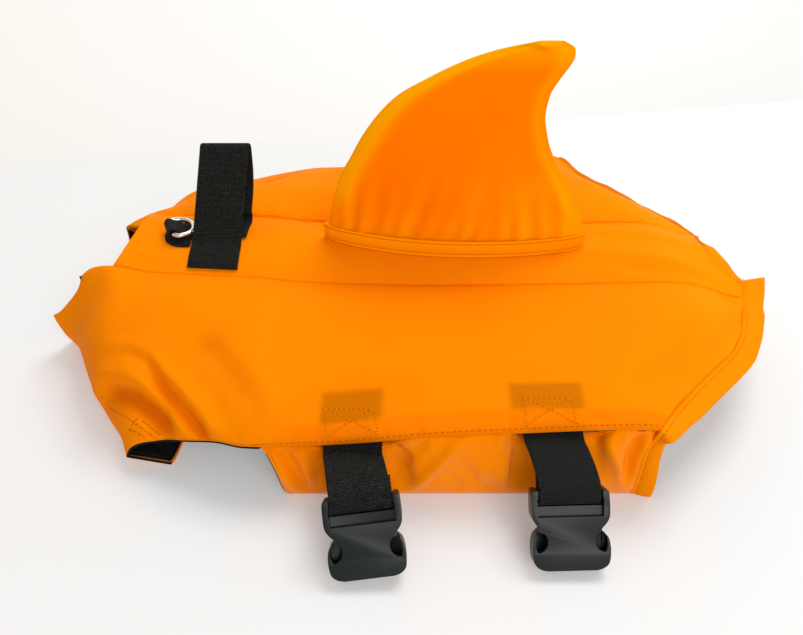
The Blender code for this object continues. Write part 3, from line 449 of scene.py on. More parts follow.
def side_surface(side, along, down):
    """Outer face of a band and its side panel, its points at seam level and its ways out. Seam level is moved
    out by the foam's puff, the creases, the puckers, the straps' ends under the cloth and the doubled hem."""
    band = band_grid(side, down, top_share, turn_share).transpose(1, 0, 2)[::-1]
    grid = np.concatenate([band, side_grid(side, along, down)])
    along = np.concatenate([np.zeros(BAND_ROWS), along])
    row = np.arange(len(grid))[:, None]
    on_top = smooth((row - UNDER_ROWS + 2) / 8)
    n = normals(grid)
    n *= np.sign(n[len(n) // 2 + 40, n.shape[1] // 2, 2])
    flat = smooth((6 - grid[..., 2]) / 2)[..., None] * (row < UNDER_ROWS)[..., None] * (n[..., 2:] < -0.5)
    n = n * (1 - flat) + np.array([0, 0, -1.0]) * flat
    behind_neck = smooth((grid[..., 0] + 200) / 25) * smooth((row - BAND_ROWS + 3) / 6)
    upright = smooth(1 - down[None, :] / 0.2) * behind_neck
    n = unit(n * (1 - upright[..., None]) + np.array([0, 0, 1.0]) * upright[..., None])
    x, out = grid[..., 0], np.abs(grid[..., 1])
    u, v = lengths(grid)
    to_hem = v[:, -1:] - v
    fade = smooth(np.minimum(v, to_hem) / 12 + 0.3) * on_top
    lift = PUFF * puff(along, down) + creases(x, out, SIDE_FOLDS[side]) * fade
    seam = np.abs(u - u[BAND_ROWS])
    lift -= FRONT_GROOVE * np.exp(-((seam / 0.8) ** 2)) * smooth((down[None, :] - 0.5) / 0.2)
    pucker = puckers(u, to_hem, side) * smooth(to_hem / 1.5)
    pucker += puckers(u + 40, v, side) * smooth(v / 2.0) * 0.7
    lift += pucker * on_top
    for middle in STRAP_X:
        across = smooth((BOX_W / 2 + 0.8 - np.abs(x - middle)) / 1.6)
        lift += TAPE_RISE * across * smooth((BOX_DEEP + 1 - to_hem) / 1.6) * smooth(to_hem / 1.5) * (x > -100)
    lift += HEM_STEP * smooth((HEM_ALLOWANCE - to_hem) / 0.9) * smooth(to_hem / 1.2) * smooth((x + 78) / 10)
    return grid + n * lift[..., None], grid, n, u, v


def noise(tree, scale, detail=2.0, distortion=0.0):
    """Noise on the piece's own coordinates, with scale waves in a metre."""
    place = node(tree, "TexCoord").outputs["Object"]
    return node(tree, "TexNoise", {"Vector": place, "Scale": scale, "Detail": detail,
                                   "Distortion": distortion}).outputs["Fac"]


def bump(tree, height, depth, **more):
    """The normal of a surface that a height of 0 to 1 raises by a depth in millimetres."""
    return node(tree, "Bump", {"Height": height, "Distance": depth * MM, "Strength": 1.0,
                               **more}).outputs["Normal"]


def weave_group():
    """Height of a plain weave: the product of two rounded waves, warp and weft, so that the threads pass over
    each other.
    """
    group = bpy.data.node_groups.new("plain weave", "ShaderNodeTree")
    group.interface.new_socket("Vector", in_out="INPUT", socket_type="NodeSocketVector")
    for name, value in (("Pitch", 0.0005), ("Cross", 1.0), ("Twill", 0.0)):
        socket = group.interface.new_socket(name, in_out="INPUT", socket_type="NodeSocketFloat")
        socket.default_value = value
    group.interface.new_socket("Height", in_out="OUTPUT", socket_type="NodeSocketFloat")
    enter, leave = group.nodes.new("NodeGroupInput"), group.nodes.new("NodeGroupOutput")

    def math(operation, a, b=None):
        return node(group, "Math", {0: a} if b is None else {0: a, 1: b}, operation=operation).outputs[0]

    split = node(group, "SeparateXYZ", {0: enter.outputs["Vector"]})
    turn = math("DIVIDE", 2 * np.pi, enter.outputs["Pitch"])
    warp = math("MULTIPLY", split.outputs[0], turn)
    across = math("MULTIPLY", math("MULTIPLY", split.outputs[1], turn), enter.outputs["Cross"])
    weft = math("ADD", across, math("MULTIPLY", warp, enter.outputs["Twill"]))
    product = math("MULTIPLY", math("SINE", warp), math("SINE", weft))
    height = math("ADD", math("MULTIPLY", product, 0.5), 0.5)
    group.links.new(height, leave.inputs["Height"])
    return group


plain_weave = weave_group()


def woven(tree, pitch, **more):
    """Height of the plain weave on the cloth's own UV, with its threads a pitch apart in millimetres."""
    return node(tree, "Group", {"Vector": node(tree, "TexCoord").outputs["UV"], "Pitch": pitch * MM, **more},
                node_tree=plain_weave).outputs["Height"]


def cloth_finish(name, colour, deep, roughness, pitch, weave_depth, wrinkle_depth, wrinkle_size, sheen=0.01,
                 gloss=0.004, mottle=0.5):
    """Woven cloth: a weave at its real pitch, fine wrinkles as a bump, and slow changes of colour between
    colour and deep and of roughness."""
    made, tree, shader = principled(name, colour, roughness, Sheen_Weight=sheen, Sheen_Roughness=0.45,
                                    Sheen_Tint=(*colour, 1),
                                    Specular_IOR_Level=gloss, Specular_Tint=(*colour, 1))
    slow = noise(tree, 14.0, 3.0)
    mixed = blend(tree, ranged(tree, slow, 0.5 - mottle / 2, 0.5), (*deep, 1), (*colour, 1))
    tone = node(tree, "Attribute", attribute_name="tone").outputs["Color"]
    tree.links.new(blend(tree, 1.0, mixed, tone, "MULTIPLY"), shader.inputs["Base Color"])
    rough = ranged(tree, slow, 0, 1, (roughness - 0.06, roughness + 0.08))
    tree.links.new(rough, shader.inputs["Roughness"])
    wrinkles = bump(tree, noise(tree, 1 / (wrinkle_size * MM), 4.0, 0.6), wrinkle_depth)
    tree.links.new(bump(tree, woven(tree, pitch), weave_depth, Normal=wrinkles), shader.inputs["Normal"])
    return made


shell_cloth = cloth_finish("orange nylon", (0.92, 0.228, 0.001), (0.89, 0.208, 0.001), roughness=0.46,
                           pitch=0.7, weave_depth=0.03, wrinkle_depth=0.25, wrinkle_size=9.0)

SIDES = {LEFT: "left", RIGHT: "right"}
side_pieces, side_tops, side_inner, band_level, band_way = {}, {}, {}, {}, {}
STRAP_TONE, HEM_TONE = np.array([0.64, 0.68, 1.0]), np.array([1.0, 0.86, 1.0])
STRAP_SHADE_W, STRAP_SHADE_DEEP = (31, 36), 27.5          # the tape's dark end shows through the nylon
# painted shade: the share of red and green that the troughs of the creases lose, in front and at the tail
PAINTED_CREASE_SHADE = {"front": (0.22, 0.40, 0), "tail": (0.26, 0.12, 0)}
# painted light: green grows towards the tail, so the tail end of the nylon looks brighter and yellower
PAINTED_TAIL_LIGHT, PAINTED_TAIL_LIGHT_X, PAINTED_TAIL_LIGHT_REACH = np.array([0, 0.14, 0]), 120, 80
BACKING_TONE = np.array([0.011, 0.048, 10.0])       # the foam's black backing
PANEL_L, PANEL_W = 400, 112
ROUND_R, SPINE_SOFT = 1.1, 8      # the rounded edge, which is flatter within 8 mm of the spine's seam
for side, hand in SIDES.items():
    along, down = shares(PANEL_L, 1.7), band_down
    outer, grid, n, u, v = side_surface(side, along, down)
    near_spine = smooth(1 - v / SPINE_SOFT)
    soft = 0.5 + (0.4 * smooth((-88 - grid[..., 0]) / 14) if side == LEFT else 0.25)
    drop = (edge_drop(u, v, ROUND_R) * (1 - soft * near_spine))[..., None]
    outer = outer - n * drop
    row = np.concatenate([np.zeros(BAND_ROWS), along])[:, None]
    thickness = BAND_T + (CLOTH_T - BAND_T) * smooth(row / 0.1)
    to_hem = v[:, -1:] - v
    x = grid[..., 0]
    hem = smooth((HEM_ALLOWANCE + 0.4 - to_hem) / 0.8) * smooth((x + 70) / 30)
    strap = 0
    for middle, wide in zip(STRAP_X, STRAP_SHADE_W):
        edge = (wide - 2 * np.abs(x - middle + (wide - STRAP_SHADE_W[0]) * 0.5)) / 2
        strap = strap + smooth((edge + 2.5) / 5) * smooth((STRAP_SHADE_DEEP - to_hem) / 4) * (row > 0.1)
    tone = 1 - (1 - STRAP_TONE) * (strap * (1 - 0.85 * hem))[..., None]
    tone = tone * (1 - (1 - HEM_TONE) * hem[..., None])
    # painted shade darkens the troughs of the creases
    fold = creases(x, np.abs(grid[..., 1]), SIDE_FOLDS[side])[..., None]
    shade = np.where(x[..., None] > 100, PAINTED_CREASE_SHADE["tail"], PAINTED_CREASE_SHADE["front"])
    # painted light makes the side panel's tail end yellower
    tail_painted_light = PAINTED_TAIL_LIGHT * smooth((x - PAINTED_TAIL_LIGHT_X) / PAINTED_TAIL_LIGHT_REACH)[..., None]
    tone = tone * (1 - shade * smooth(-fold / 5)) * (1 + tail_painted_light)
    sunk = np.minimum(((outer - grid) * n).sum(-1, keepdims=True) + drop + 0.3, 0)
    inner = grid + n * (sunk + np.minimum(drop, 0.9) - thickness[..., None])
    backing_tone = np.broadcast_to(BACKING_TONE, outer.shape).copy()
    backing_tone[:, -2:] = 1.0
    backing_tone[BAND_ROWS:, -7:] = 1.0
    backing_tone[BAND_ROWS - 12:BAND_ROWS + 12, :8] = 1.0
    piece = shell(f"side_shell_{hand}", outer, inner, shell_cloth, tone, backing_tone)
    dress(piece, "shell", f"side_panel_{hand}", f"chest_band_{hand}")
    side_pieces[side], side_tops[side], side_inner[side] = piece, outer, inner
    band_level[side], band_way[side] = grid[1:BAND_ROWS - 3], n[1:BAND_ROWS - 3]

# Centre panel.
# A narrow crowned panel along the spine, of the same nylon over foam, that carries the fin, the handle and
# the leash ring. It is sewn to both side panels, and its tail edge bulges beside the left seam.

CROWN, NECK_X, NECK_DEPTH = 9.0, -169, 6.0
BACK_L, BACK_W = 374, 68
BACK_EDGE = table("y x", (-34, 206.5), (-30, 208), (-26.5, 208), (-21, 203), (-15, 198), (-6, 194.7),
                  (6, 194), (20, 195.5), (34, 201))
BACK_FOLDS = [
    (((100, 20), (118, 16), (140, 11), (159, 7.7), (185, 6), (200, 6)), 4.5, 1.5),
    (((104, 10), (130, 3), (160, -1), (190, -3)), 4.0, -1.2),
    (((92, -8), (112, -10.5), (147, -15.6), (175, -19.6), (199, -20)), 4.0, 1.6),
    (((120, -22), (150, -26), (180, -28), (200, -27)), 3.5, -1.3),
    (((110, 28), (150, 24), (190, 20)), 5.0, -0.9),
    (((-168, -26), (-155, -27), (-136, -30)), 3.0, -1.2),
    (((-160, 8), (-150, 16), (-146, 26)), 4.0, 0.8),
    (((-95, -12), (-80, -14), (-60, -12)), 5.0, -0.8),
    (((-92, 6), (-76, 12), (-58, 10)), 5.0, 0.8),
]


def back_z(x, y):
    """Height of the centre panel: between its seams, plus a crown of 1 - (y / half width) squared."""
    share = (y / SEAM_OUT + 1) / 2
    level = seam_z(x, LEFT) * (1 - share) + seam_z(x, RIGHT) * share
    tail = read(BACK_EDGE, "x", y, by="y") - x
    return level + CROWN * (1 - (y / SEAM_OUT) ** 2) - TAIL_DROP * (1 - smooth(tail / TAIL_REACH))


def back_grid(along, across):
    """Points of the centre panel, from the dipped neckline to the tail edge."""
    y = (-SEAM_OUT + GAP / 2 + (2 * SEAM_OUT - GAP) * across)[None, :]
    front = NECK_X + NECK_DEPTH * (1 - (y / SEAM_OUT) ** 2)
    tail = read(BACK_EDGE, "x", y, by="y")
    x = front + (tail - front) * along[:, None]
    return np.stack([x, np.broadcast_to(y, x.shape), back_z(x, y)], -1)


def back_top(x, y):
    """Height of the centre panel's cloth with its creases, for what lies on it."""
    edge = smooth((SEAM_OUT - np.abs(y)) / 8)
    return back_z(x, y) + creases(x, y, BACK_FOLDS) * edge


grid = back_grid(shares(BACK_L, 2.2), shares(BACK_W, 1.8))
u, v = lengths(grid)
drop = edge_drop(u, v, 0.7)
top = grid.copy()
top[..., 2] = back_top(grid[..., 0], grid[..., 1]) - drop
near_seam = np.minimum(v, v[:, -1:] - v)
top[..., 2] += puckers(u + 15, near_seam, LEFT) * smooth(near_seam / 2)
under = grid - (0, 0, CLOTH_T)
under[..., 2] += np.minimum(drop, 1.0)
# painted light makes the centre panel's tail end yellower
tail_painted_light_tone = 1 + PAINTED_TAIL_LIGHT * smooth((top[..., :1] - PAINTED_TAIL_LIGHT_X) / PAINTED_TAIL_LIGHT_REACH)
centre = shell("centre_shell", top, under, shell_cloth, tail_painted_light_tone)
dress(centre, "shell", "back_panel")

# Linings.
# Plain black cloth lies under the foam panels and the bands, sewn into their edges. It shows at the neck, the
# leg holes and the tail.

lining_cloth = cloth_finish("black lining", (0.009, 0.011, 0.010), (0.006, 0.008, 0.007), roughness=0.62,
                            pitch=0.9, weave_depth=0.10, wrinkle_depth=0.3, wrinkle_size=7.0, sheen=0.05,
                            gloss=0.1)


def outward(grid, inside):
    """normals(grid), all turned to the side that most of them need to point away from the point inside."""
    n = normals(grid)
    return n * np.sign(np.sign(((grid - inside) * n).sum(-1)).sum() + 0.5)


def backing(name, grid, n, depth, solid):
    """A thin lining a depth under a grid of points, against their ways out."""
    piece = shell(name, grid - n * depth, grid - n * (depth + LINING_T), lining_cloth)
    dress(piece, "lining", solid)
    return piece


for side, hand in SIDES.items():
    front = 0.06 if side == LEFT else 0.03
    grid = side_grid(side, front + (0.987 - front) * shares(PANEL_L, 5.0),
                     front + (0.985 - front) * shares(PANEL_W, 4.0))
    sunk = np.maximum(-creases(grid[..., 0], np.abs(grid[..., 1]), SIDE_FOLDS[side]), 0)[..., None]
    piece = backing(f"lining_side_{hand}", grid, outward(grid, np.array([0, 0, 24.0])),
                    CLOTH_T + 2 * GAP + sunk, f"lining_{hand}")
    lined = (band_down > 0.3) & (band_down < 0.99)
    piece = backing(f"lining_band_{hand}", band_level[side][:, lined], band_way[side][:, lined],
                    BAND_T + 2 * GAP, f"lining_chest_{hand}")
grid = back_grid(0.004 + 0.99 * shares(BACK_L, 6.0), shares(BACK_W, 5.0))
lining_top = grid - (0, 0, CLOTH_T + GAP)
piece = shell("lining_centre", lining_top, lining_top - (0, 0, LINING_T), lining_cloth)
dress(piece, "lining", "lining_back")

# Belly flaps.
# One layer of thin orange satin, sewn under each hem, that hangs down to the table and is turned under. The
# right one laps over the left one below the belly.

FLAP_T = 1.5
FLAP_FRONT = table("z x", (0, -58.5), (10, -60.5), (21, -62.5), (27, -65), (30, -67), (33, -72))
FLAP_TAIL_X = 118.0
FLAP_HEM_FRONT, FLAP_HEM_TAIL = -72.0, 119.0
FLAP_END = {LEFT: 25.0, RIGHT: 20.0}
TUCK_HALF, TUCK_FADE = 27, 9          # the flap's top is tucked in behind each strap
TURN_ROW = 7                          # the row of the section where the flap turns flat under
FLAP_SECTION = table("out share", (136.8, 1.0), (139.4, 1.0), (141.6, 0.9), (144.4, 0.72), (146.6, 0.45),
                     (147, 0.2), (145.6, 0.05), (142, 0.0), (125, 0.0), (100, 0.0), (70, 0.0), (40, 0.0),
                     (10, 0.0), (-1, 0.0))
FLAP_FOLDS = {            # line of (x, height), width, height of the fold
    LEFT: [
        (((-68, 36), (-63, 26), (-57, 14), (-53, 2)), 2.6, 2.2),
        (((-62, 37), (-56, 27), (-50, 14), (-47, 2)), 2.2, -2.4),
        (((-55, 37), (-48, 26), (-44, 8)), 2.6, 2.0),
        (((-44, 36), (-42, 20), (-43, 4)), 2.4, -1.8),
        (((34, 44), (24, 33), (16, 23), (8, 12), (2, 3)), 2.6, 3.0),
        (((14, 44), (4, 30), (-2, 22), (-4, 8)), 4.0, -2.4),
        (((20, 22), (28, 14), (30, 3)), 2.6, -1.6),
        (((26, 28), (38, 14), (50, 3)), 3.4, -2.2),
        (((44, 30), (40, 16), (42, 4)), 2.6, 1.4),
        (((47, 46), (47.5, 40), (49, 30)), 1.6, 1.2),
        (((56, 42), (52, 28), (51, 6)), 2.6, 1.8),
        (((98, 46), (103, 34), (108, 24), (112, 14), (116, 4)), 3.4, 3.2),
        (((118, 48), (114.5, 40), (112.5, 30), (111.8, 20), (114, 8)), 2.4, -4.6),
        (((88, 44), (92, 26), (98, 8)), 3.4, 1.8),
        (((94, 44), (97, 30), (101, 14)), 2.6, -1.4),
    ],
    RIGHT: [
        (((-66, 36), (-58, 22), (-52, 4)), 2.6, 2.2),
        (((-52, 37), (-46, 20), (-44, 4)), 2.8, -2.0),
        (((6, 44), (12, 28), (22, 14), (30, 3)), 3.2, 2.6),
        (((24, 44), (30, 30), (40, 18), (46, 3)), 3.2, -2.2),
        (((56, 44), (52, 26), (50, 6)), 2.6, 1.6),
        (((104, 46), (108, 30), (112, 16), (114, 4)), 3.2, 2.8),
        (((116, 46), (114, 30), (113, 10)), 2.4, -3.2),
    ],
}


def flap_grid(side, x):
    """Points of a flap's outer face at its section's points, for places x along the hem."""
    middle_x = x[:, None]
    along = (middle_x - FLAP_HEM_FRONT) / (FLAP_HEM_TAIL - FLAP_HEM_FRONT)
    out, share = FLAP_SECTION["out"][None, :], FLAP_SECTION["share"][None, :]
    hem_z = read(BODY, "low_z", middle_x)
    strap = sum(smooth((TUCK_HALF - np.abs(middle_x - at)) / TUCK_FADE) for at in STRAP_X)
    tuck = strap * (TAPE_T + 2 * GAP + 3.0)
    under_panel = top_z(middle_x, np.minimum(out, HEM_OUT), side) - CLOTH_T - 2 * GAP - tuck
    z = np.where(share > 0.89, under_panel - (share < 0.95) * 2.0, share * (hem_z - CLOTH_T))
    front = read(FLAP_FRONT, "x", z, by="z")
    tail = FLAP_TAIL_X + 5.0 * smooth((z - 32) / 8)
    reach = np.where(out < 0, -FLAP_END[side], out - tuck * (share > 0.3) * (share < 0.95))
    if side == RIGHT:
        z = z + (FLAP_T + 2 * GAP) * smooth((LIFT_OUT - reach) / 18) * (share == 0)
    return np.stack([front * (1 - along) + tail * along, side * reach, z], -1)


def between(points, at):
    """Points on a smooth curve through the rows of an array, at places counted in rows: Catmull and Rom's
    blend of four neighbours."""
    last = len(points) - 1
    i = np.clip(np.floor(at).astype(int), 0, last - 1)
    u = (at - i).reshape((-1,) + (1,) * (points.ndim - 1))
    a, b, c, d = (points[np.clip(i + k, 0, last)] for k in (-1, 0, 1, 2))
    return 0.5 * (2 * b + (c - a) * u + (2 * a - 5 * b + 4 * c - d) * u**2 + (3 * b - 3 * c + d - a) * u**3)


TAPE_W, TAPE_T = 29.0, 1.8
satin_cloth = cloth_finish("orange satin", (1.0, 0.25, 0.0), (0.92, 0.20, 0.0), roughness=0.30, pitch=0.5,
                           weave_depth=0.02, wrinkle_depth=0.55, wrinkle_size=11.0, gloss=0.3)
flaps, flap_pieces = {}, {}
flap_x = FLAP_HEM_FRONT + (FLAP_HEM_TAIL - FLAP_HEM_FRONT) * shares(191, 1.8)
section = np.concatenate([np.linspace(0, TURN_ROW, 57), np.linspace(TURN_ROW, 13, 25)[1:]])
for side, hand in SIDES.items():
    grid = between(flap_grid(side, flap_x).transpose(1, 0, 2), section).transpose(1, 0, 2)
    grid[..., 2] = np.maximum(grid[..., 2], np.where(section > TURN_ROW, grid[..., 2], 0.0))
    n = outward(grid, np.array([30.0, side * 70.0, 20.0]))
    flat = smooth((section - TURN_ROW + 0.5) / 0.6)[None, :, None]
    n = unit(n * (1 - flat) + np.array([0, 0, -1.0]) * flat)
    x, z = grid[..., 0], grid[..., 2]
    wall_part = smooth(z / 5) * smooth((section - 1.2) / 1.0)[None, :]
    lift = creases(x, z, FLAP_FOLDS[side]) * wall_part
    beside_strap = np.prod([smooth((np.abs(x - at) - 13) / 8) for at in STRAP_X], axis=0)
    lift = lift * np.where(lift > 0, beside_strap, 1)
    lift += 0.35 * np.sin(x * 0.9 + 2 * np.sin(x * 0.17)) * smooth((z - 30) / 12) * wall_part
    outer = grid + n * lift[..., None]
    outer[..., 2] = np.maximum(outer[..., 2], 0.0)
    piece = shell(f"belly_satin_{hand}", outer, outer - n * FLAP_T, satin_cloth)
    dress(piece, "satin", f"belly_flap_{hand}")
    flaps[side], flap_pieces[side] = outer, piece

# Flange round the tail opening.
# A folded strip of the orange nylon stands off the tail's edge all round: along both side panels, the centre
# panel and the belly flaps. A row of stitches runs close to its seam.

BINDING_T = 2.0
# painted light makes the near flange a little yellower, and painted shade darkens the far flange and the far
# part of the back one
FLANGE_PAINTED_LIGHT, FAR_PAINTED_SHADE = np.array([1.0, 1.06, 1.0]), np.array([0.72, 0.68, 1.0])
FLANGE_ROOT, FLANGE_DIP, FLANGE_STITCH = -1.5, 2.8, 2.4
FLANGE_SHARE = np.array([0, 0.04, 0.08, 0.12, 0.16, 0.2, 0.24, 0.28, 0.33, 0.4, 0.5, 0.6, 0.72, 0.82, 0.9,
                         0.95, 0.98, 1.0])
flange_lines = []         # where its stitches go


def distance(line):
    """Distance walked along a line to each of its points."""
    return np.concatenate([[0], np.cumsum(np.linalg.norm(np.diff(line, axis=0), axis=1))])


def flange(name, nodes, edge, direction, width, tone):
    """A doubled strip that stands off an edge. Its root dips under the edge, and across it its half thickness
    is small at the stitches, fuller past them, and falls to nothing on a quarter circle at the fold."""
    at = np.linspace(0, len(edge) - 1, (len(edge) - 1) * 12 + 1)
    edge, direction, width = between(edge, at), between(unit(direction), at), between(width[:, None], at)
    tone = between(np.broadcast_to(tone, (int(at[-1]) + 1, 3)), at)
    up = unit(np.cross(direction, np.gradient(edge, axis=0)))
    up *= np.sign(up[0, 2])
    walked = distance(edge)[:, None]
    share = FLANGE_SHARE[None, :]
    away = FLANGE_ROOT + (width - FLANGE_ROOT) * share
    half = BINDING_T / 2 * (0.85 + 0.35 * smooth((away - FLANGE_STITCH) / 3))
    half -= 0.45 * np.exp(-(((away - FLANGE_STITCH) / 0.8) ** 2))
    half += 0.04 * np.sin(walked * 1.3 + 2 * np.sin(walked * 0.21)) * smooth((away - 1) / 2)
    half = half * np.sqrt(np.maximum(1 - np.clip((away - (width - 1.3)) / 1.3, 0, 1) ** 2, 0.0004))
    wave = 0.7 * np.sin(walked * 0.11 + len(name)) + 0.25 * np.sin(walked * 0.31 + 1)
    rise = wave * np.clip(away / width, 0, 1) ** 1.5 - FLANGE_DIP * smooth((GAP - away) / 1.5)
    middle = edge[:, None, :] + direction[:, None, :] * away[..., None] + up[:, None, :] * rise[..., None]
    middle[..., 2] = np.maximum(middle[..., 2], BINDING_T / 2 + 0.3)
    half = up[:, None, :] * half[..., None]
    outer = middle + half
    piece = shell(name, outer, middle - half, shell_cloth, np.broadcast_to(tone[:, None], outer.shape))
    dress(piece, "shell", *nodes)
    place = (FLANGE_STITCH - FLANGE_ROOT) / (width[:, 0] - FLANGE_ROOT)
    column = np.clip(np.searchsorted(FLANGE_SHARE, place) - 1, 0, len(FLANGE_SHARE) - 2)
    part = (place - FLANGE_SHARE[column]) / (FLANGE_SHARE[column + 1] - FLANGE_SHARE[column])
    row = np.arange(len(outer))
    line = outer[row, column] + (outer[row, column + 1] - outer[row, column]) * part[:, None]
    flange_lines.append((line, up))
    return piece


coarse = np.linspace(0, 1, 10)
mid = np.array([0, 0, -CLOTH_T / 2])
for side, hand in SIDES.items():
    edge = side_grid(side, np.array([0, 1.0]), coarse)[-1] + mid
    low = flap_grid(side, np.array([FLAP_HEM_FRONT, FLAP_HEM_TAIL]))[-1][2:8] + (0, -side * 0.75, 0)
    low[0] += 0.45 * (low[1] - low[0])
    low[:, 2] = np.maximum(low[:, 2], BINDING_T / 2 + 0.3)
    low_away = np.stack([np.ones(6), side * np.linspace(0.25, 0.1, 6), np.zeros(6)], -1)
    low_width = np.array([7, 8.5, 9.5, 10.5, 11, 11.5])
    nodes = [f"tail_binding_{hand}", f"belly_binding_{hand}"]
    if side == LEFT:
        away = np.stack([1 - 0.35 * coarse, -0.10 - 0.60 * coarse, -0.3 - 0.15 * coarse], -1)
        away[-1] = (0.5, -0.55, -0.35)
        width = np.interp(coarse, (0, 0.11, 0.22, 0.5, 0.8, 1), (16.0, 13.8, 13.2, 13, 12, 8))
        corner = np.array([209.5, -22.5, 46.8])
        edge = np.concatenate([[corner], edge, low])
        away = np.concatenate([[[0.88, 0.43, -0.2]], away, low_away])
        flange("flange_left", nodes, edge, away, np.concatenate([[24.0], width, low_width]), FLANGE_PAINTED_LIGHT)
    else:
        away = np.tile([[0.72, 0.38, -0.3]], (len(coarse), 1))
        width = np.interp(coarse, (0, 0.15, 0.8, 1), (4.5, 9, 9, 7))
        flange("flange_right", nodes, np.concatenate([edge, low]), np.concatenate([away, low_away]),
               np.concatenate([width, low_width]), FAR_PAINTED_SHADE)
far = np.array([-27.5, -23, -17, -11, -6, -1, 4, 7, 10, 16, 24, 33])
edge = np.stack([read(BACK_EDGE, "x", far, by="y"), far, 0 * far], -1)
edge[:, 2] = back_z(edge[:, 0], edge[:, 1]) - CLOTH_T / 2
width = np.array([6, 9.5, 11, 12, 12, 11.5, 11, 10, 6.5, 5.5, 5.5, 6])
away = np.stack([np.ones(12), np.interp(far, (-24, 0, 10, 33), (0.35, 0.25, 0.3, 0.5)), np.full(12, -0.3)],
                -1)
flange("flange_back", ["tail_binding_back"], edge, away, width,
       FLANGE_PAINTED_LIGHT + (FAR_PAINTED_SHADE - FLANGE_PAINTED_LIGHT) * smooth((far[:, None] - 6) / 5))

# Edging of the leg holes.
# A narrow black tape is sewn over the raw edge of each leg hole, from the end of the chest band round the
# fold and along the side panel to where the hem starts, and down the front edge of the belly flap.

EDGING_HALF, FLAP_EDGING_HALF, EDGING_END_X = 0.75, 0.5, -69


def walk(line, rows, places):
    """The rows that belong to a line's points, blended for places at given distances along the line."""
    return np.stack([np.interp(places, distance(line), rows[:, k]) for k in range(rows.shape[1])], -1)


def spaced(line, pitch):
    """Points evenly a pitch apart along a line."""
    line = np.asarray(line, float)
    length = distance(line)[-1]
    return walk(line, line, np.linspace(0, length, max(2, int(round(length / pitch)) + 1)))


def ring_faces(rings, sides, closed=True):
    """The faces between closed sections, which follow each other in a line or in a closed ring."""
    i, j = np.arange(rings if closed else rings - 1)[:, None] * sides, np.arange(sides)[None, :]
    ahead, after = (i + sides) % (rings * sides), (j + 1) % sides
    return np.stack([i + j, i + after, ahead + after, ahead + j], -1).reshape(-1, 4)


def round_sections(line, aside, over, turn, size):
    """Circles of a size about a line's points, at angles turn between two directions across the line."""
    return line[:, None] + size * (np.cos(turn)[None, :, None] * aside[:, None]
                                   + np.sin(turn)[None, :, None] * over[:, None])


def bead(name, line, radius, finish, sides=10):
    """A round bead along a line, closed at both ends by rings that shrink to a point."""
    line = spaced(line, 1.2)
    run = unit(np.gradient(line, axis=0))
    over = unit(np.cross(run, np.cross((0, 0, 1.0), run) + (1e-6, 0, 0)))
    turn = np.linspace(0, 2 * np.pi, sides, endpoint=False)
    size = np.full((len(line), 1, 1), radius)
    size[[0, -1]] = 0.02
    rows = round_sections(line, np.cross(run, over), over, turn, size)
    faces = ring_faces(len(line), sides, closed=False).tolist()
    faces += [list(range(sides))[::-1], [(len(line) - 1) * sides + k for k in range(sides)]]
    return place_mesh(name, rows.reshape(-1, 3), faces, finish)


for side, hand in SIDES.items():
    outer, inner = side_tops[side], side_inner[side]
    share = np.where(np.arange(len(outer)) < UNDER_ROWS, 0.95, 0.9)[:, None]
    rim = (outer[:, -1] * (1 - share) + inner[:, -1] * share)[UNDER_ROWS - 3:]
    rim = rim[rim[:, 0] < EDGING_END_X]
    rim[:, 2] = np.maximum(rim[:, 2], EDGING_HALF + 0.3)
    dress(bead(f"edging_leg_{hand}", rim, EDGING_HALF, lining_cloth), "lining")
    front = flaps[side][0, 16:70] + (-0.5, -side * 1.1, 0)
    front[:, 2] = np.maximum(front[:, 2], FLAP_EDGING_HALF + 0.05)
    dress(bead(f"edging_flap_{hand}", front, FLAP_EDGING_HALF, lining_cloth), "lining")

# Shark fin.
# Two cut shapes of a deeper orange cloth, sewn together inside out, turned and stuffed. They are gathered a
# little into the strip round the fin's foot, and the tip ends in a small squared tuck.

FIN_HALF = {LEFT: 9.4, RIGHT: 11.5}
FIN = table("z front rear half", (62, -47, 112, 1.0), (71, -45, 111.5, 1.0), (80, -43.3, 109, 1.05),
            (94, -40, 101.4, 1.02), (107, -35.5, 94, 0.97), (118, -29.5, 87.6, 0.93), (131, -22.3, 82, 0.86),
            (145, -12, 79, 0.73), (155, -1.5, 80, 0.6), (163, 12.5, 83.7, 0.48), (170.5, 27.5, 88.2, 0.36),
            (175, 38.5, 90, 0.28), (179, 52, 89.5, 0.2), (183, 72, 83, 0.12))
GATHERS = table("x width lean", (-36, 3.0, 4), (-25, 3.4, 6), (-12, 2.8, 9), (-2, 3.6, 12), (12, 3.2, 14),
                (24, 3.8, 16), (36, 3.0, 8), (47, 3.4, 2), (60, 3.2, -2), (72, 3.8, -6), (86, 3.0, -8),
                (98, 3.2, -6))
FIN_DENTS = [(((20, 110), (40, 130), (60, 150)), 16.0, -1.2), (((0, 95), (20, 100), (48, 98)), 12.0, 0.7)]
TIP_TUCKS = [(((60, 182), (70, 179), (76, 176)), 1.6, -1.3), (((66, 182), (76, 180), (82, 178)), 1.5, 1.0)]
FIN_FRONT_X, FIN_L = -47, 159         # at the foot
TIP_ROUND = 0.015                     # share of the height in which the tip closes
fin_cloth = cloth_finish("deep orange cloth", (1.0, 0.235, 0.0), (0.98, 0.215, 0.0), roughness=0.55,
                         pitch=0.6, weave_depth=0.02, wrinkle_depth=0.3, wrinkle_size=14.0)


def lens(share):
    """Half thickness across the chord: (4 s (1 - s)) to the power 0.62, a little fuller in front."""
    return np.clip(4 * share * (1 - share), 0, 1) ** 0.62 * (1 + 0.18 * (0.5 - share))


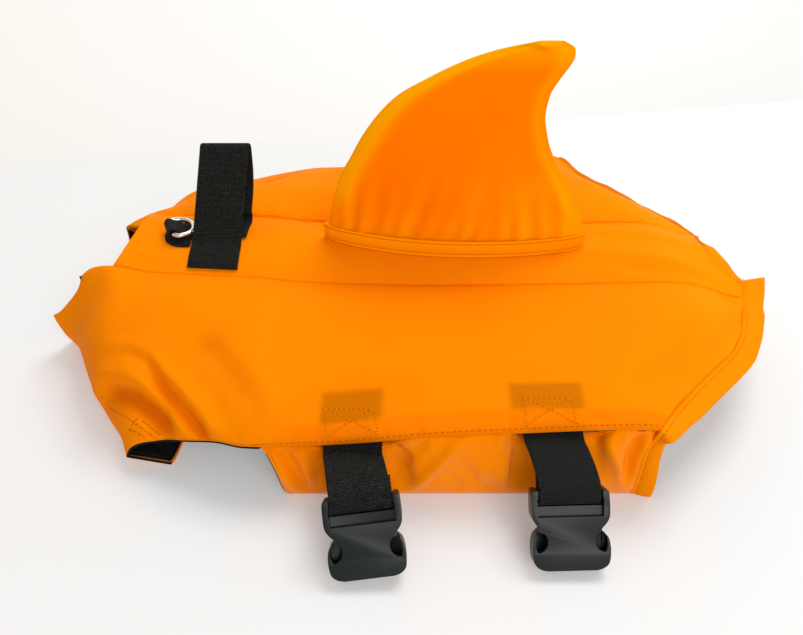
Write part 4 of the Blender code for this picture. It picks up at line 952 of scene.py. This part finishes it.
level = np.concatenate([np.linspace(0, 0.06, 5)[:-1], np.linspace(0.06, 0.98, 88),
                        [0.988, 0.994, 0.998, 1.0]])[:, None]
z = FIN["z"][0] + (FIN["z"][-1] - FIN["z"][0]) * (1 - (1 - level) ** 1.25)
share = (1 - np.cos(np.linspace(0, np.pi, 76)))[None, :] / 2
front, rear = read(FIN, "front", z, by="z"), read(FIN, "rear", z, by="z")
x = front + (rear - front) * share
half = read(FIN, "half", z, by="z") * lens(share)
tip = np.sqrt(np.maximum(1 - np.clip((level - (1 - TIP_ROUND)) / TIP_ROUND, 0, 1) ** 2, 0.0))
faces_of_fin = []
for side in (LEFT, RIGHT):
    full = FIN_HALF[side] * half
    gather = np.zeros_like(full)
    for number, (at, wide, lean) in enumerate(zip(*(GATHERS[k] for k in ("x", "width", "lean")))):
        rise = (z - 70) / 40
        middle = at + (3 if side == RIGHT else 0) + lean * rise
        tall = 1.0 + 0.5 * np.sin(number * 2.3 + side)
        bell = np.exp(-(((x - middle) / (wide * (1 + 0.6 * rise))) ** 2))
        gather += bell * tall * np.exp(-np.maximum(rise, 0) ** 2 * 1.6)
    gather = (gather - 0.45) * 2.4 * smooth((z - 66) / 8) * smooth(lens(share) * 1.6)
    edge_in = np.minimum(x - front, rear - x)
    rim_puff = 0.9 * np.exp(-(((edge_in - 7) / 4.5) ** 2)) * smooth((z - 72) / 20)
    dent = creases(x, z, FIN_DENTS)
    y = side * ((0.6 + full + gather + (rim_puff + dent) * smooth(full / 4)) * tip + 0.02)
    faces_of_fin.append(y)
base = 1 - smooth(level / 0.12)


def sway(x, z):
    """How far the fin's middle lies off the spine: its foot is sewn on a little askew, 3 mm out at the front
    and 6 mm the other way at the rear, and that fades towards the tip."""
    return (3.0 - 9.0 * (x - FIN_FRONT_X) / FIN_L) * (1 - smooth((z - 66) / 80))


def fin_points(y):
    """Points of one face of the fin, whose foot follows the centre panel."""
    y = y + sway(x, z)
    return np.stack([x, y, z + (back_z(x, y) + GAP - FIN["z"][0]) * base], -1)


near_face, far_face = fin_points(faces_of_fin[0]), fin_points(faces_of_fin[1])
tuck = creases(x, z, TIP_TUCKS) * smooth(half * 8)
near_face[..., 1] -= tuck
far_face[..., 1] += tuck
# painted light: a lighter tone on the front and rear seams, the tip, the foot with its gathers and the low
# rear part
fin_painted_light = 0.75 * np.exp(-(((x - front - 4) / 6.5) ** 2)) * smooth((z - 74) / 30) + 0.45 * smooth((z - 166) / 14)
fin_painted_light += 0.3 * np.exp(-(((rear - x - 5) / 4.0) ** 2))
fin_painted_light += 0.22 * smooth((92 - z) / 20) + 0.12 * gather + 0.2 * smooth((x - 45) / 40) * smooth((140 - z) / 40)
fin_painted_light_tone = 1 + np.minimum(fin_painted_light, 0.62)[..., None] * (0, 1, 0)
fin = shell("fin", near_face, far_face, fin_cloth, fin_painted_light_tone)
dress(fin, "fin", "fin_left", "fin_right")

# Strip round the fin's foot.
# A band of the same cloth, folded along its top, that holds the fin's raw edge and is stitched to the centre
# panel along its lower edge and to the fin along its upper one.

FIN_STRIP_H, FIN_STRIP_T = 10.0, 1.2
turn = np.linspace(0, 2 * np.pi, 241)[:-1]
chord = (1 - np.cos(turn)) / 2
way = np.sign(np.sin(turn) + 1e-9)


def strip_ring(level, thickness):
    """A ring round the foot: wider at the bottom, a thickness out from the fin."""
    reach = 0.6 + GAP + thickness + 0.5 * (1 - level)
    beyond = 0.3 + 0.7 * thickness
    x = FIN_FRONT_X - beyond + (FIN_L + 2 * beyond) * chord
    half = np.where(way < 0, FIN_HALF[LEFT], FIN_HALF[RIGHT]) * 1.05
    y = way * lens(chord) * (half + 0.6 + reach + 0.4) + sway(x, 66)
    return np.stack([x, y, back_z(x, y) + GAP + level * FIN_STRIP_H], -1)


# height share and thickness share round the strip's section
STRIP_SECTION = np.array([(0, 0), (0, 0.6), (0.0, 1.25), (0.04, 1.45), (0.1, 1.2), (0.15, 0.75), (0.2, 1.0),
                          (0.35, 1.2), (0.55, 1.25), (0.7, 1.1), (0.78, 0.95), (0.83, 0.65), (0.88, 1.0),
                          (0.94, 1.1), (0.985, 0.9), (1.0, 0.5), (1.0, 0.0)])
rings = np.stack([strip_ring(a, t * FIN_STRIP_T) for a, t in STRIP_SECTION], 1)


walked = distance(rings[:, 3])
strip_uv = np.stack([np.repeat(walked, rings.shape[1]),
                     np.tile(STRIP_SECTION[:, 0] * FIN_STRIP_H, len(rings))], -1)
strip_faces = ring_faces(*rings.shape[:2])[:, ::-1]
# the strip's tone (1, 1.36, 1) is painted light, so its upright faces look as bright and yellow as the top of
# the panel
strip = place_mesh("fin_strip", rings.reshape(-1, 3), strip_faces, fin_cloth, strip_uv, tone=(1, 1.36, 1))
dress(strip, "fin", "fin_base_strip")
fin_lines = [rings[:, 11], rings[:, 5]]

# Handle.
# A slack loop of ribbed black webbing for lifting the dog, both ends sewn flat to the centre panel. It has
# flopped over towards the dog's right.

HANDLE_X, HANDLE_SLIP, HANDLE_ASKEW = -112.3, 5.0, 2.0      # its top and its right foot sit further back
HANDLE_FEET = {"left_end": -31.0, "left_bend": -15.0, "right_end": -7.0, "right_bend": 13.0}
HANDLE_RISE, HANDLE_LEAN, HANDLE_TOP_R = 55.0, np.radians(52), 4.2
RIB = 1.44                # pitch of the webbing's ribs


def webbing_finish(name, colour, painted_highlight):
    """Ribbed black webbing: across each rib run short slanted threads whose tops carry a painted highlight, a
    lighter colour, and between the ribs it is dark. U runs along the tape and V across it."""
    made, tree, shader = principled(name, colour, 0.62, Sheen_Weight=0.004, Sheen_Roughness=0.4,
                                    Specular_IOR_Level=0.04)
    ribs = woven(tree, RIB, Cross=1.6, Twill=0.25)
    tops = node(tree, "Math", {0: ribs, 1: noise(tree, 1400.0)}, operation="MULTIPLY").outputs[0]
    lit = blend(tree, ranged(tree, tops, 0.24, 0.62), (*colour, 1), (*painted_highlight, 1))
    tree.links.new(lit, shader.inputs["Base Color"])
    tree.links.new(bump(tree, ribs, 0.16), shader.inputs["Normal"])
    return made


# the last colour is the painted highlight on the threads' tops
webbing = webbing_finish("black webbing", (0.0012, 0.0014, 0.0012), (0.078, 0.083, 0.074))


def tape(name, path, across, width, thickness, finish, rib=0.13):
    """A flat woven tape along a path. Its section is a rounded slab, and ribs run across it as a sine along
    its length, on both faces."""
    path, across = np.asarray(path, float), np.broadcast_to(across, np.shape(path)).astype(float)
    at = np.linspace(0, len(path) - 1, 60 * len(path))
    path, across = between(path, at), between(across, at)
    length = distance(path)[-1]
    even = np.linspace(0, length, int(length / 0.3))
    path, across = walk(path, path, even), unit(walk(path, across, even))
    up = unit(np.cross(np.gradient(path, axis=0), across))
    place = np.array([-1, -0.985, -0.955, -0.91, -0.84, -0.7, -0.5, -0.25, 0, 0.25, 0.5, 0.7, 0.84, 0.91,
                      0.955, 0.985, 1])
    edge = np.sqrt(np.maximum(1 - np.clip((np.abs(place) - 0.93) / 0.07, 0, 1) ** 2, 0.02))
    ribs = rib * np.sin(2 * np.pi * even / RIB)[:, None] * smooth((1 - np.abs(place)) / 0.05)[None, :]
    ends = smooth(np.minimum(even, even[-1] - even) / 0.8)[:, None] * 0.5 + 0.5
    half = (thickness / 2 - rib) * edge[None, :] * ends + ribs
    wobble = 0.18 * np.sin(2 * np.pi * even / RIB)[:, None] * (np.abs(place) > 0.9)[None, :]
    slab = path[:, None, :] + across[:, None, :] * (place[None, :] * (width / 2 + wobble))[..., None]
    uv = np.stack(np.broadcast_arrays(even[:, None], place * width / 2), -1)
    half = up[:, None, :] * half[..., None]
    return shell(name, slab + half, slab - half, finish, uv=uv)


def on_back(y):
    """Middle of the tape where it lies on the centre panel."""
    return np.stack([np.full_like(y, HANDLE_X), y, back_z(HANDLE_X, y) + GAP + TAPE_T / 2 + 0.3], -1)


# from the left foot: up the leaning leg, round the top, down the slack side and along the right foot
left = on_back(np.linspace(HANDLE_FEET["left_end"], HANDLE_FEET["left_bend"], 5))
rise = np.array([0, np.cos(HANDLE_LEAN), np.sin(HANDLE_LEAN)])
leg = left[-1] + (0, 2.5, 1.4) + rise * np.linspace(2.0, HANDLE_RISE, 7)[:, None]      # past a soft bend
right_foot = on_back(np.array([HANDLE_FEET["right_bend"]]))[0]
over = leg[-1] - HANDLE_TOP_R * np.cross((1, 0, 0), rise)
angle = np.linspace(0, np.pi, 6)[1:-1, None]
normal = (leg[-1] - over) / HANDLE_TOP_R
bend = over + HANDLE_TOP_R * (np.cos(angle) * normal + np.sin(angle) * rise)
down_start = over - HANDLE_TOP_R * normal
slide = np.linspace(0, 1, 8)[:, None]
landing = right_foot + (HANDLE_ASKEW, 3.2, 5.0)
back_leg = down_start + (landing - down_start) * slide + np.sin(np.pi * slide) * np.array([0, 5.0, -2.0])
right = on_back(np.linspace(HANDLE_FEET["right_bend"], HANDLE_FEET["right_end"], 4)) + (HANDLE_ASKEW, 0, 0)
leg[:, 0] += HANDLE_SLIP * np.linspace(0.04, 1, 7)
bend[:, 0] += HANDLE_SLIP
back_leg[:, 0] += HANDLE_SLIP * (1 - slide[:, 0])
path = np.concatenate([left, leg, bend, back_leg, [right_foot + (HANDLE_ASKEW, 3.6, 2.0)], right])
slope = (back_z(HANDLE_X + 10, 0) - back_z(HANDLE_X - 10, 0)) / 20
level = np.clip((path[:, 2] - left[-1, 2]) / 10, 0, 1)[:, None]
handle = tape("handle_loop", path, np.array([1.0, 0, slope]) * (1 - level) + np.array([1.0, 0, 0]) * level,
              TAPE_W + 0.6, TAPE_T, webbing, rib=0.2)
dress(handle, "webbing", "handle")

# Leash ring, with its tab and patch.
# A nickel-plated steel D-ring is held by a short folded tab of webbing that is sewn down over a rounded black
# patch. The ring turns on its straight bar in the tab.

RING_BAR, RING_TURN = (-140.3, -6.0), np.radians(25)
RING_HALF, RING_REACH, RING_CORNER, RING_WIRE, RING_LIFT = 9.0, 13.0, 2.2, 1.5, 5.4
TAB_HALF, TAB_T, TAB_END, PATCH_T = 6.6, 1.4, 7.4, 1.0
step = np.array([-np.sin(RING_TURN), np.cos(RING_TURN)]) * RING_HALF
bar = unit(np.array([*(2 * step), back_z(*(RING_BAR + step)) - back_z(*(RING_BAR - step))]))
ring_out = unit(np.cross(bar, (0, 0, 1.0)))
ring_up = np.cross(ring_out, bar)
ring_middle = np.array([*RING_BAR, back_z(*RING_BAR) + RING_LIFT])

nickel, tree, shader = principled("nickel plate", (0.78, 0.77, 0.75), 0.14, Metallic=1.0)
tree.links.new(ranged(tree, noise(tree, 900.0), 0, 1, (0.08, 0.24)), shader.inputs["Roughness"])

side_share = np.linspace(-1, 1, 9)[:, None]
straight = np.concatenate([side_share * 0, side_share * (RING_HALF - RING_CORNER)], 1)
angle = np.linspace(np.pi / 2, -np.pi / 2, 49)[:, None]
arc = np.concatenate([RING_CORNER + (RING_REACH - RING_CORNER) * np.cos(angle) ** 0.8,
                      RING_HALF * np.sin(angle)], 1)
plan = np.concatenate([straight, arc])
wire = np.concatenate([plan, -plan[:, :1] * 0.10], 1)
tangent = unit(np.roll(wire, -1, 0) - np.roll(wire, 1, 0))
away = unit(np.cross(tangent, (0.0, 0.0, 1.0)))
sides = 20
turn = (np.arange(sides) + 0.5) * 2 * np.pi / sides
ring_points = round_sections(wire, away, np.cross(away, tangent), turn, RING_WIRE)
ring = place_mesh("leash_ring", ring_middle + ring_points.reshape(-1, 3) @ np.stack([ring_out, bar, ring_up]),
                  ring_faces(len(wire), sides), nickel)
dress(ring, "ring", "dring", body="dring")

radius = RING_WIRE + GAP + TAB_T / 2 + 0.3
angle = np.linspace(np.pi / 2, 3 * np.pi / 2, 8)
loop = np.stack([radius * np.cos(angle), radius * np.sin(angle)], -1)
tab_floor = PATCH_T + 2 * GAP + TAB_T / 2 + 0.4 - RING_LIFT
plan = np.concatenate([[(TAB_END, tab_floor + TAB_T + GAP), (4.4, tab_floor + 2.6)], loop,
                       [(3.0, tab_floor + 0.1), (TAB_END, tab_floor)]])
tab = tape("ring_tab", ring_middle + plan[:, :1] * ring_out + plan[:, 1:] * ring_up, bar, 2 * TAB_HALF, TAB_T,
           webbing, rib=0.08)
dress(tab, "webbing", "dring_tab")

PATCH = np.array([(-145, -8), (-143.5, -12), (-140, -15), (-136, -16.5), (-129.5, -16.5), (-128.2, -15.6),
                  (-128.2, -10), (-128.2, -4), (-128.2, 2), (-128.2, 8), (-131, 9), (-137, 8.5), (-141, 6),
                  (-144, 2), (-145.4, -3)])
ring_at = np.linspace(0, len(PATCH), 91)[:-1]
outline = between(np.concatenate([PATCH, PATCH[:1]]), ring_at)
inward = np.array([1.0, 0.97, 0.93, 0.8, 0.6, 0.4, 0.2, 0.002])
flat = PATCH.mean(0) + (outline - PATCH.mean(0))[None] * inward[:, None, None]
height = back_z(flat[..., 0], flat[..., 1]) + GAP + 0.25
rounded = PATCH_T * np.array([0.3, 0.75, 1, 1, 1, 1, 1, 1])[:, None]
rows = np.concatenate([np.concatenate([flat, (height + rounded)[..., None]], -1),
                       np.concatenate([flat, height[..., None]], -1)[::-1]])
faces, rows = ring_faces(*rows.shape[:2]), rows.reshape(-1, 3)
patch = place_mesh("ring_patch", rows, faces, webbing, rows[:, :2])
dress(patch, "webbing", "dring_patch")

# Straps.
# Two black webbing straps on each side are sewn under the hem in a box with a cross. They hang out to the
# buckles, pass round their bars and end doubled behind them.

BUCKLE_L, BUCKLE_T, MALE_L, MALE_T = 37.0, 8.4, 39.0, 6.0
BUCKLE_SIZE = {LEFT: (BUCKLE_L, BUCKLE_T, 12.6), RIGHT: (MALE_L, MALE_T, 14.2)}     # last, half its low end
BUCKLE_LEAN = np.radians(50)
BUCKLE_TURN = {"front": np.radians(7), "rear": np.radians(1.5)}
BAR_L, BAR_HALF = 4.0, 1.8
STRAPS = {"front": (-24.0, -19.0, 168.0), "rear": (73.5, 78.0, 163.5)}      # x at the hem, buckle's x and out
STRAP_ROOT, RETURN_L = 5.0, 9.0


def buckle_axes(side, strap):
    """Unit vectors of a buckle: along it to its open end, across it, and out of its face."""
    along = np.array([0, side * np.cos(BUCKLE_LEAN), -np.sin(BUCKLE_LEAN)])
    across = np.array([1.0, 0, 0])
    face = np.array([0, side * np.sin(BUCKLE_LEAN), np.cos(BUCKLE_LEAN)])
    turn = BUCKLE_TURN[strap]
    return along * np.cos(turn) + across * np.sin(turn), across * np.cos(turn) - along * np.sin(turn), face


def buckle_top(side, strap):
    """The top of a buckle's bar, at the height where its lower end rests on the table."""
    length, thickness, end_half = BUCKLE_SIZE[side]
    drop = length * np.cos(BUCKLE_TURN[strap]) + end_half * np.sin(BUCKLE_TURN[strap])
    height = drop * np.sin(BUCKLE_LEAN) + thickness / 2 * np.cos(BUCKLE_LEAN) + 0.1
    return np.array([STRAPS[strap][1], side * STRAPS[strap][2], height])


def strap_path(side, strap):
    """Middle line of a strap and its width's direction: from under the hem, out and down to the bar, round it
    and back behind itself."""
    along, across, face = buckle_axes(side, strap)
    bar_top = buckle_top(side, strap)
    x = STRAPS[strap][0]
    hem_z = float(read(BODY, "low_z", x))
    root = np.array([x, side * (HEM_OUT - STRAP_ROOT), hem_z - CLOTH_T - GAP - TAPE_T / 2 - 0.4])
    leave = root + np.array([0, side * (STRAP_ROOT + 2), -1.6])
    wrap = BAR_HALF + 0.2 + GAP + TAPE_T / 2
    arrive = bar_top + face * wrap
    bend = arrive - along * 7.0
    t = np.linspace(0, 1, 9)[:, None]
    run = (1 - t) ** 2 * leave + 2 * t * (1 - t) * bend + t**2 * arrive
    run = np.concatenate([root[None], run])
    front = arrive + along * np.array([BAR_L * 0.55])[:, None]
    angle = np.linspace(0, np.pi, 6)[:, None]
    middle = bar_top + along * (BAR_L - 1.0)
    loop = middle + face * wrap * np.cos(angle) + along * wrap * np.sin(angle)
    back = bar_top - face * wrap
    tail = [back, back - along * RETURN_L * 0.45 - face * 0.2, back - along * RETURN_L * 0.8 - face * 0.6]
    path = np.concatenate([run, front, loop, tail])
    turn = np.concatenate([np.linspace(0, 1, len(run)), np.ones(len(path) - len(run))])[:, None]
    width = np.array([1.0, 0, 0]) * (1 - turn) + across * turn
    return path, unit(width)


for side, hand in SIDES.items():
    for strap in STRAPS:
        path, width = strap_path(side, strap)
        piece = tape(f"strap_{strap}_{hand}_webbing", path, width, TAPE_W, TAPE_T, webbing)
        dress(piece, "webbing", f"strap_{hand}_{strap}")

# Buckles.
# Side-release buckles moulded from black acetal with a satin face: the left straps carry the female halves,
# with a window each side for the prongs, and the right ones the male halves. They are undone.

SLOT_END, RECESS_END = 7.7, 12.2          # along the buckle, from its bar
EDGE_ROUND = 0.7
FEMALE = np.array([(0, 16.6), (1.2, 17.8), (8, 18.1), (12.5, 17.8), (15.5, 16.2), (17.5, 14.4), (18.6, 14.1),
                   (19.6, 15.0), (22, 17.0), (26, 17.9), (31, 17.8), (34.2, 16.9), (36.2, 14.4),
                   (BUCKLE_L, 11.2)])
MALE = np.array([(0, 16.6), (1.2, 17.8), (14, 18.0), (17, 17.4), (19, 15.2), (24, 13.4), (29, 13.6),
                 (32, 15.6), (34.5, 15.9), (37, 14.2), (MALE_L, 11.0), (38, 9.4), (34, 10.2), (24, 9.8),
                 (19, 7.6), (18.5, 3.2), (37, 2.6), (38.5, 1.4)])
WINDOW = np.array([(15.0, 19.2), (13.0, 19.4), (11.5, 21.0), (10.9, 23.6), (11.6, 26.2), (13.4, 28.0),
                   (15.4, 28.6), (16.3, 27.0), (16.6, 24.5), (16.1, 21.2)])

acetal, tree, shader = principled("black acetal", (0.006, 0.010, 0.008), 0.34, Specular_IOR_Level=0.3)
mould = noise(tree, 2200.0)
tree.links.new(bump(tree, mould, 0.03, Strength=0.7), shader.inputs["Normal"])
tree.links.new(ranged(tree, mould, 0, 1, (0.26, 0.46)), shader.inputs["Roughness"])


def plate(name, outline, low, high, where, axes):
    """A flat plate with an outline of points (across, along), from low to high out of a buckle's face."""
    after = np.roll(outline, -1, axis=0)
    if (outline[:, 0] * after[:, 1] - outline[:, 1] * after[:, 0]).sum() * np.linalg.det(axes) < 0:
        outline = outline[::-1]
    count = len(outline)
    level = np.repeat([[low], [high]], count, axis=0)
    i = np.arange(count)
    after = (i + 1) % count
    sides = np.stack([i, after, after + count, i + count], -1).tolist()
    return place_mesh(name, where + np.concatenate([np.tile(outline, (2, 1)), level], 1) @ axes,
                      [i[::-1].tolist(), (i + count).tolist(), *sides], acetal, flat=True)


def block(across, along):
    """The four corners of a straight cut, from its two ranges."""
    return np.array([(across[i], along[j]) for i, j in ((0, 0), (1, 0), (1, 1), (0, 1))])


def oval(outline, count):
    """A smooth closed outline through a few points."""
    return between(np.concatenate([outline, outline[:1]]), np.linspace(0, len(outline), count + 1)[:-1])


def buckle(name, side, strap, half, cuts):
    """A moulded half: its outline as a thick plate less its cuts, with every edge rounded."""
    along, across, face = buckle_axes(side, strap)
    where, axes, high = buckle_top(side, strap), np.stack([across, along, face]), BUCKLE_SIZE[side][1] / 2
    half = between(half, np.linspace(0, len(half) - 1, 4 * len(half)))[:, ::-1]
    outline = np.concatenate([half, half[::-1] * (-1, 1)])
    body = plate(f"{name}_half_{strap}", outline, -high, high, where, axes)
    cutters = [plate("cut", outline, a, b, where, axes) for outline, a, b in cuts]
    for cutter in cutters:
        cut = body.modifiers.new("cut", "BOOLEAN")
        cut.operation, cut.object = "DIFFERENCE", cutter
    weld = body.modifiers.new("weld", "WELD")
    weld.merge_threshold = 0.03 * MM
    rounding = body.modifiers.new("rounding", "BEVEL")
    rounding.width, rounding.segments, rounding.limit_method = EDGE_ROUND * MM, 3, "ANGLE"
    rounding.angle_limit = np.radians(35)
    depsgraph = bpy.context.evaluated_depsgraph_get()
    made = bpy.data.meshes.new_from_object(body.evaluated_get(depsgraph))
    body.modifiers.clear()
    body.data = made
    made.shade_smooth()
    made.set_sharp_from_angle(angle=np.radians(38))
    for cutter in cutters:
        bpy.data.objects.remove(cutter, do_unlink=True)
    dress(body, "buckle", f"buckle_{name}_{strap}")


half_t, through = BUCKLE_T / 2, 9         # a cut that goes through is drawn 9 mm past the middle
window = oval(WINDOW, 28)
slot = block((-15.4, 15.4), (BAR_L, SLOT_END))
beside_bar = block((-15.0, 15.0), (-1, BAR_L + 0.5))
bar_cuts = [(beside_bar, BAR_HALF, through), (beside_bar, -through, -BAR_HALF)]
for strap in STRAPS:
    buckle("female", LEFT, strap, FEMALE, [
        (slot, -1.2, through), (block((-15.2, 15.2), (SLOT_END - 1, RECESS_END)), half_t - 2.6, through),
        *bar_cuts, (block((-11.0, 11.0), (16, BUCKLE_L + 2)), -2.7, 2.7),
        (block((-15.6, 15.6), (20.5, 29)), -2.6, 2.6),
        (window, -1.0, through), (window * (-1, 1), -1.0, through)])
    buckle("male", RIGHT, strap, MALE, [(slot, -through, through), *bar_cuts])

# Stitches.
# Orange thread on every seam of the cloth, black thread on the webbing. Each stitch lies in a shallow dip
# between two needle holes.

THREAD_HALF, STITCH_DIP = 0.3, 0.12
orange_thread = principled("orange thread", (0.88, 0.21, 0.0), 0.5, Specular_Tint=(1.0, 0.3, 0.0, 1))[0]
black_thread = principled("black thread", (0.008, 0.009, 0.008), 0.6, Specular_IOR_Level=0.1)[0]
# painted shade: each needle hole is a dark disc that stands in for the shade in the hole
needle_hole_shade = principled("needle hole", (0.42, 0.085, 0.0), 0.9, Specular_IOR_Level=0.0)[0]
trees = {}


def lie_on(piece, points, way=None):
    """Places and ways out where points, in millimetres, come to lie on a piece: straight along way from each
    point, or at the nearest place."""
    if piece.name not in trees:
        mesh = piece.data
        corners = np.empty(len(mesh.vertices) * 3, np.float32)
        mesh.vertices.foreach_get("co", corners)
        trees[piece.name] = BVHTree.FromPolygons(corners.reshape(-1, 3).tolist(),
                                                 [p.vertices[:] for p in mesh.polygons])
    tree = trees[piece.name]
    where, up = [], []
    for point in (np.asarray(points) - ORIGIN) * MM:
        hit = tree.ray_cast(Vector(point), Vector(way)) if way is not None else (None,)
        if hit[0] is None:
            hit = tree.find_nearest(Vector(point))
        where.append(np.array(hit[0]) / MM + ORIGIN)
        up.append(np.array(hit[1]))
    return np.array(where), np.array(up)


# a stitch: place along it in half lengths, and half width there
STITCH = np.array([(-1.0, 0.35), (-0.72, 0.9), (0.0, 1.0), (0.72, 0.9), (1.0, 0.35)])
seams = {"thread": [], "black": [], "hole": []}


def sew(where, up, length, kind="thread", half=THREAD_HALF, hole=0.3):
    """Stitches of a length and half width at each place along a seam, from its points and ways out: a thread
    with a rounded back that dips into the cloth at both ends, and past each end a dark disc of painted shade
    for the needle hole."""
    run = np.gradient(where, axis=0)
    run = unit(run - (run * up).sum(-1, keepdims=True) * up)
    cross = np.cross(up, run)
    turn = np.linspace(0, np.pi, 5)
    along = (STITCH[:, 0] * length / 2)[:, None] + 0 * turn
    aside = (STITCH[:, 1] * half)[:, None] * np.cos(turn)
    rise = (STITCH[:, 1] * half)[:, None] * np.sin(turn) - STITCH_DIP - 0.25 * (np.abs(STITCH[:, :1]) > 0.9)
    local = np.stack([along, aside, rise], -1).reshape(-1, 3)
    points = (where[:, None] + local[None, :, :1] * run[:, None] + local[None, :, 1:2] * cross[:, None]
              + local[None, :, 2:] * up[:, None])
    index, one = grid_faces(len(STITCH), len(turn))
    seams[kind].append((points.reshape(-1, 3), one, len(where), index.size))
    if hole:
        spin = np.arange(8) * np.pi / 4
        disc = np.stack([np.cos(spin) * hole * 1.15, np.sin(spin) * hole], -1)
        for end in (-1, 1):
            middle = where + run * (end * (length / 2 + 0.05)) + up * 0.05
            points = middle[:, None] + disc[None, :, :1] * run[:, None] + disc[None, :, 1:] * cross[:, None]
            seams["hole"].append((points.reshape(-1, 3), np.arange(8)[None, :], len(where), 8))


def parallel(grid, distance, from_end=True):
    """The line on a grid that runs a distance in from its last column, or from its first one."""
    step = np.linalg.norm(np.diff(grid, axis=1), axis=-1)
    walked = np.concatenate([np.zeros((len(grid), 1)), np.cumsum(step, 1)], 1)
    walked = walked[:, -1:] - walked if from_end else walked
    order = slice(None, None, -1) if from_end else slice(None)
    return np.array([[np.interp(distance, w[order], row[order, k]) for k in range(3)]
                     for w, row in zip(walked, grid)])


def above(line, side, height):
    """Points at a height over a line of (x, out)."""
    return np.column_stack([line[:, 0], side * line[:, 1], np.full(len(line), height)])


SEAM_PITCH, BOX_PITCH, FRONT_PITCH = 2.9, 2.6, 2.3
HEM_IN, SEAM_IN = 2.1, 1.6        # how far the rows run in from the cloth's edges
BOXES = [[(-37.7, 128.6), (-14.1, 129.6), (-11.4, 141.0), (-36.4, 141.0)],       # corners, as (x, out)
         [(59.9, 127.6), (81.4, 128.8), (83.0, 141.0), (59.6, 141.0)]]
# the seam to the chest band, and the doubled stitches at its lower end
FRONT_LINES = [[(-165.7, 97.9), (-155.9, 107.3), (-146.2, 115.0), (-137.7, 120.7), (-128.5, 125.8)],
               [(-143.0, 120.6), (-134.4, 125.2)], [(-135.2, 118.8), (-126.4, 124.2)],
               [(-143.0, 120.6), (-139.6, 117.8)]]
for side in (LEFT, RIGHT):
    piece = side_pieces[side]
    top = side_tops[side]
    hem = parallel(top, HEM_IN)
    hem = spaced(hem[hem[:, 0] > FLAP_HEM_FRONT], SEAM_PITCH)
    sew(*lie_on(piece, hem), length=1.9)
    seam = parallel(top, SEAM_IN, from_end=False)
    seam = spaced(seam[(seam[:, 0] > -168) & (seam[:, 0] < (125 if side == LEFT else 60))], SEAM_PITCH)
    sew(*lie_on(piece, seam), length=1.7, half=0.24)
    for box in BOXES:
        box = np.array(box)
        for a, b in ((0, 1), (1, 2), (3, 0), (0, 2), (1, 3)):
            inset = (box[b] - box[a]) * 0.7 / np.hypot(*(box[b] - box[a]))
            line = spaced(np.stack([box[a] + inset, box[b] - inset]), BOX_PITCH)
            sew(*lie_on(piece, above(line, side, 120.0), (0, 0, -1)), length=1.5, half=0.26)
    for line in FRONT_LINES:
        line = spaced(line, SEAM_PITCH)
        sew(*lie_on(piece, above(line, side, 60.0), (0, 0, -1)), length=1.0, half=0.24, hole=0.42)
    rim = parallel(top, SEAM_IN)[BAND_ROWS + 6:]
    rim = spaced(rim[(rim[:, 0] < -70)], FRONT_PITCH)
    sew(*lie_on(piece, rim), length=1.3, half=0.28)
    edge = flaps[side][1, 18:66] + (1.6, 0, 0)
    sew(*lie_on(flap_pieces[side], spaced(edge, FRONT_PITCH)), length=1.3, half=0.26, hole=0.26)
for line, up in flange_lines:
    places = spaced(np.concatenate([line, up], 1), SEAM_PITCH)
    sew(places[:, :3], unit(places[:, 3:]), length=1.7, half=0.26)
for line in fin_lines:
    places = spaced(np.concatenate([line, line[:1]]), FRONT_PITCH)
    ways = unit(np.gradient(places, axis=0)[:, [1, 0, 2]] * (1, -1, 0))
    ways *= np.sign(((places - (40, 0, 0)) * ways * (1, 1, 0)).sum(1, keepdims=True))
    sew(places + ways * 0.1, ways, length=1.3, half=0.24)
HANDLE_ROWS = [(-125.5, -99.0, -28.6), (-125.5, -99.0, -17.6), (-123.5, -97.0, -4.6), (-123.5, -97.0, 10.0)]
for x0, x1, y in HANDLE_ROWS:
    line = spaced([(x0, y, 120.0), (x1, y, 120.0)], 2.2)
    sew(*lie_on(handle, line, (0, 0, -1)), length=1.5, kind="black", hole=0)

kinds = {"thread": ("seam_stitches", orange_thread, "shell"),
         "black": ("webbing_stitches", black_thread, "webbing"),
         "hole": ("needle_holes", needle_hole_shade, "shell")}
for kind, (name, finish, slot) in kinds.items():
    points, faces, before = [], [], 0
    for line_points, one, times, each in seams[kind]:
        points.append(line_points)
        moved = one[None] + (np.arange(times) * each)[:, None, None] + before
        faces += moved.reshape(-1, one.shape[1]).tolist()
        before += times * each
    piece = place_mesh(name, np.concatenate(points), faces, finish)
    dress(piece, slot)
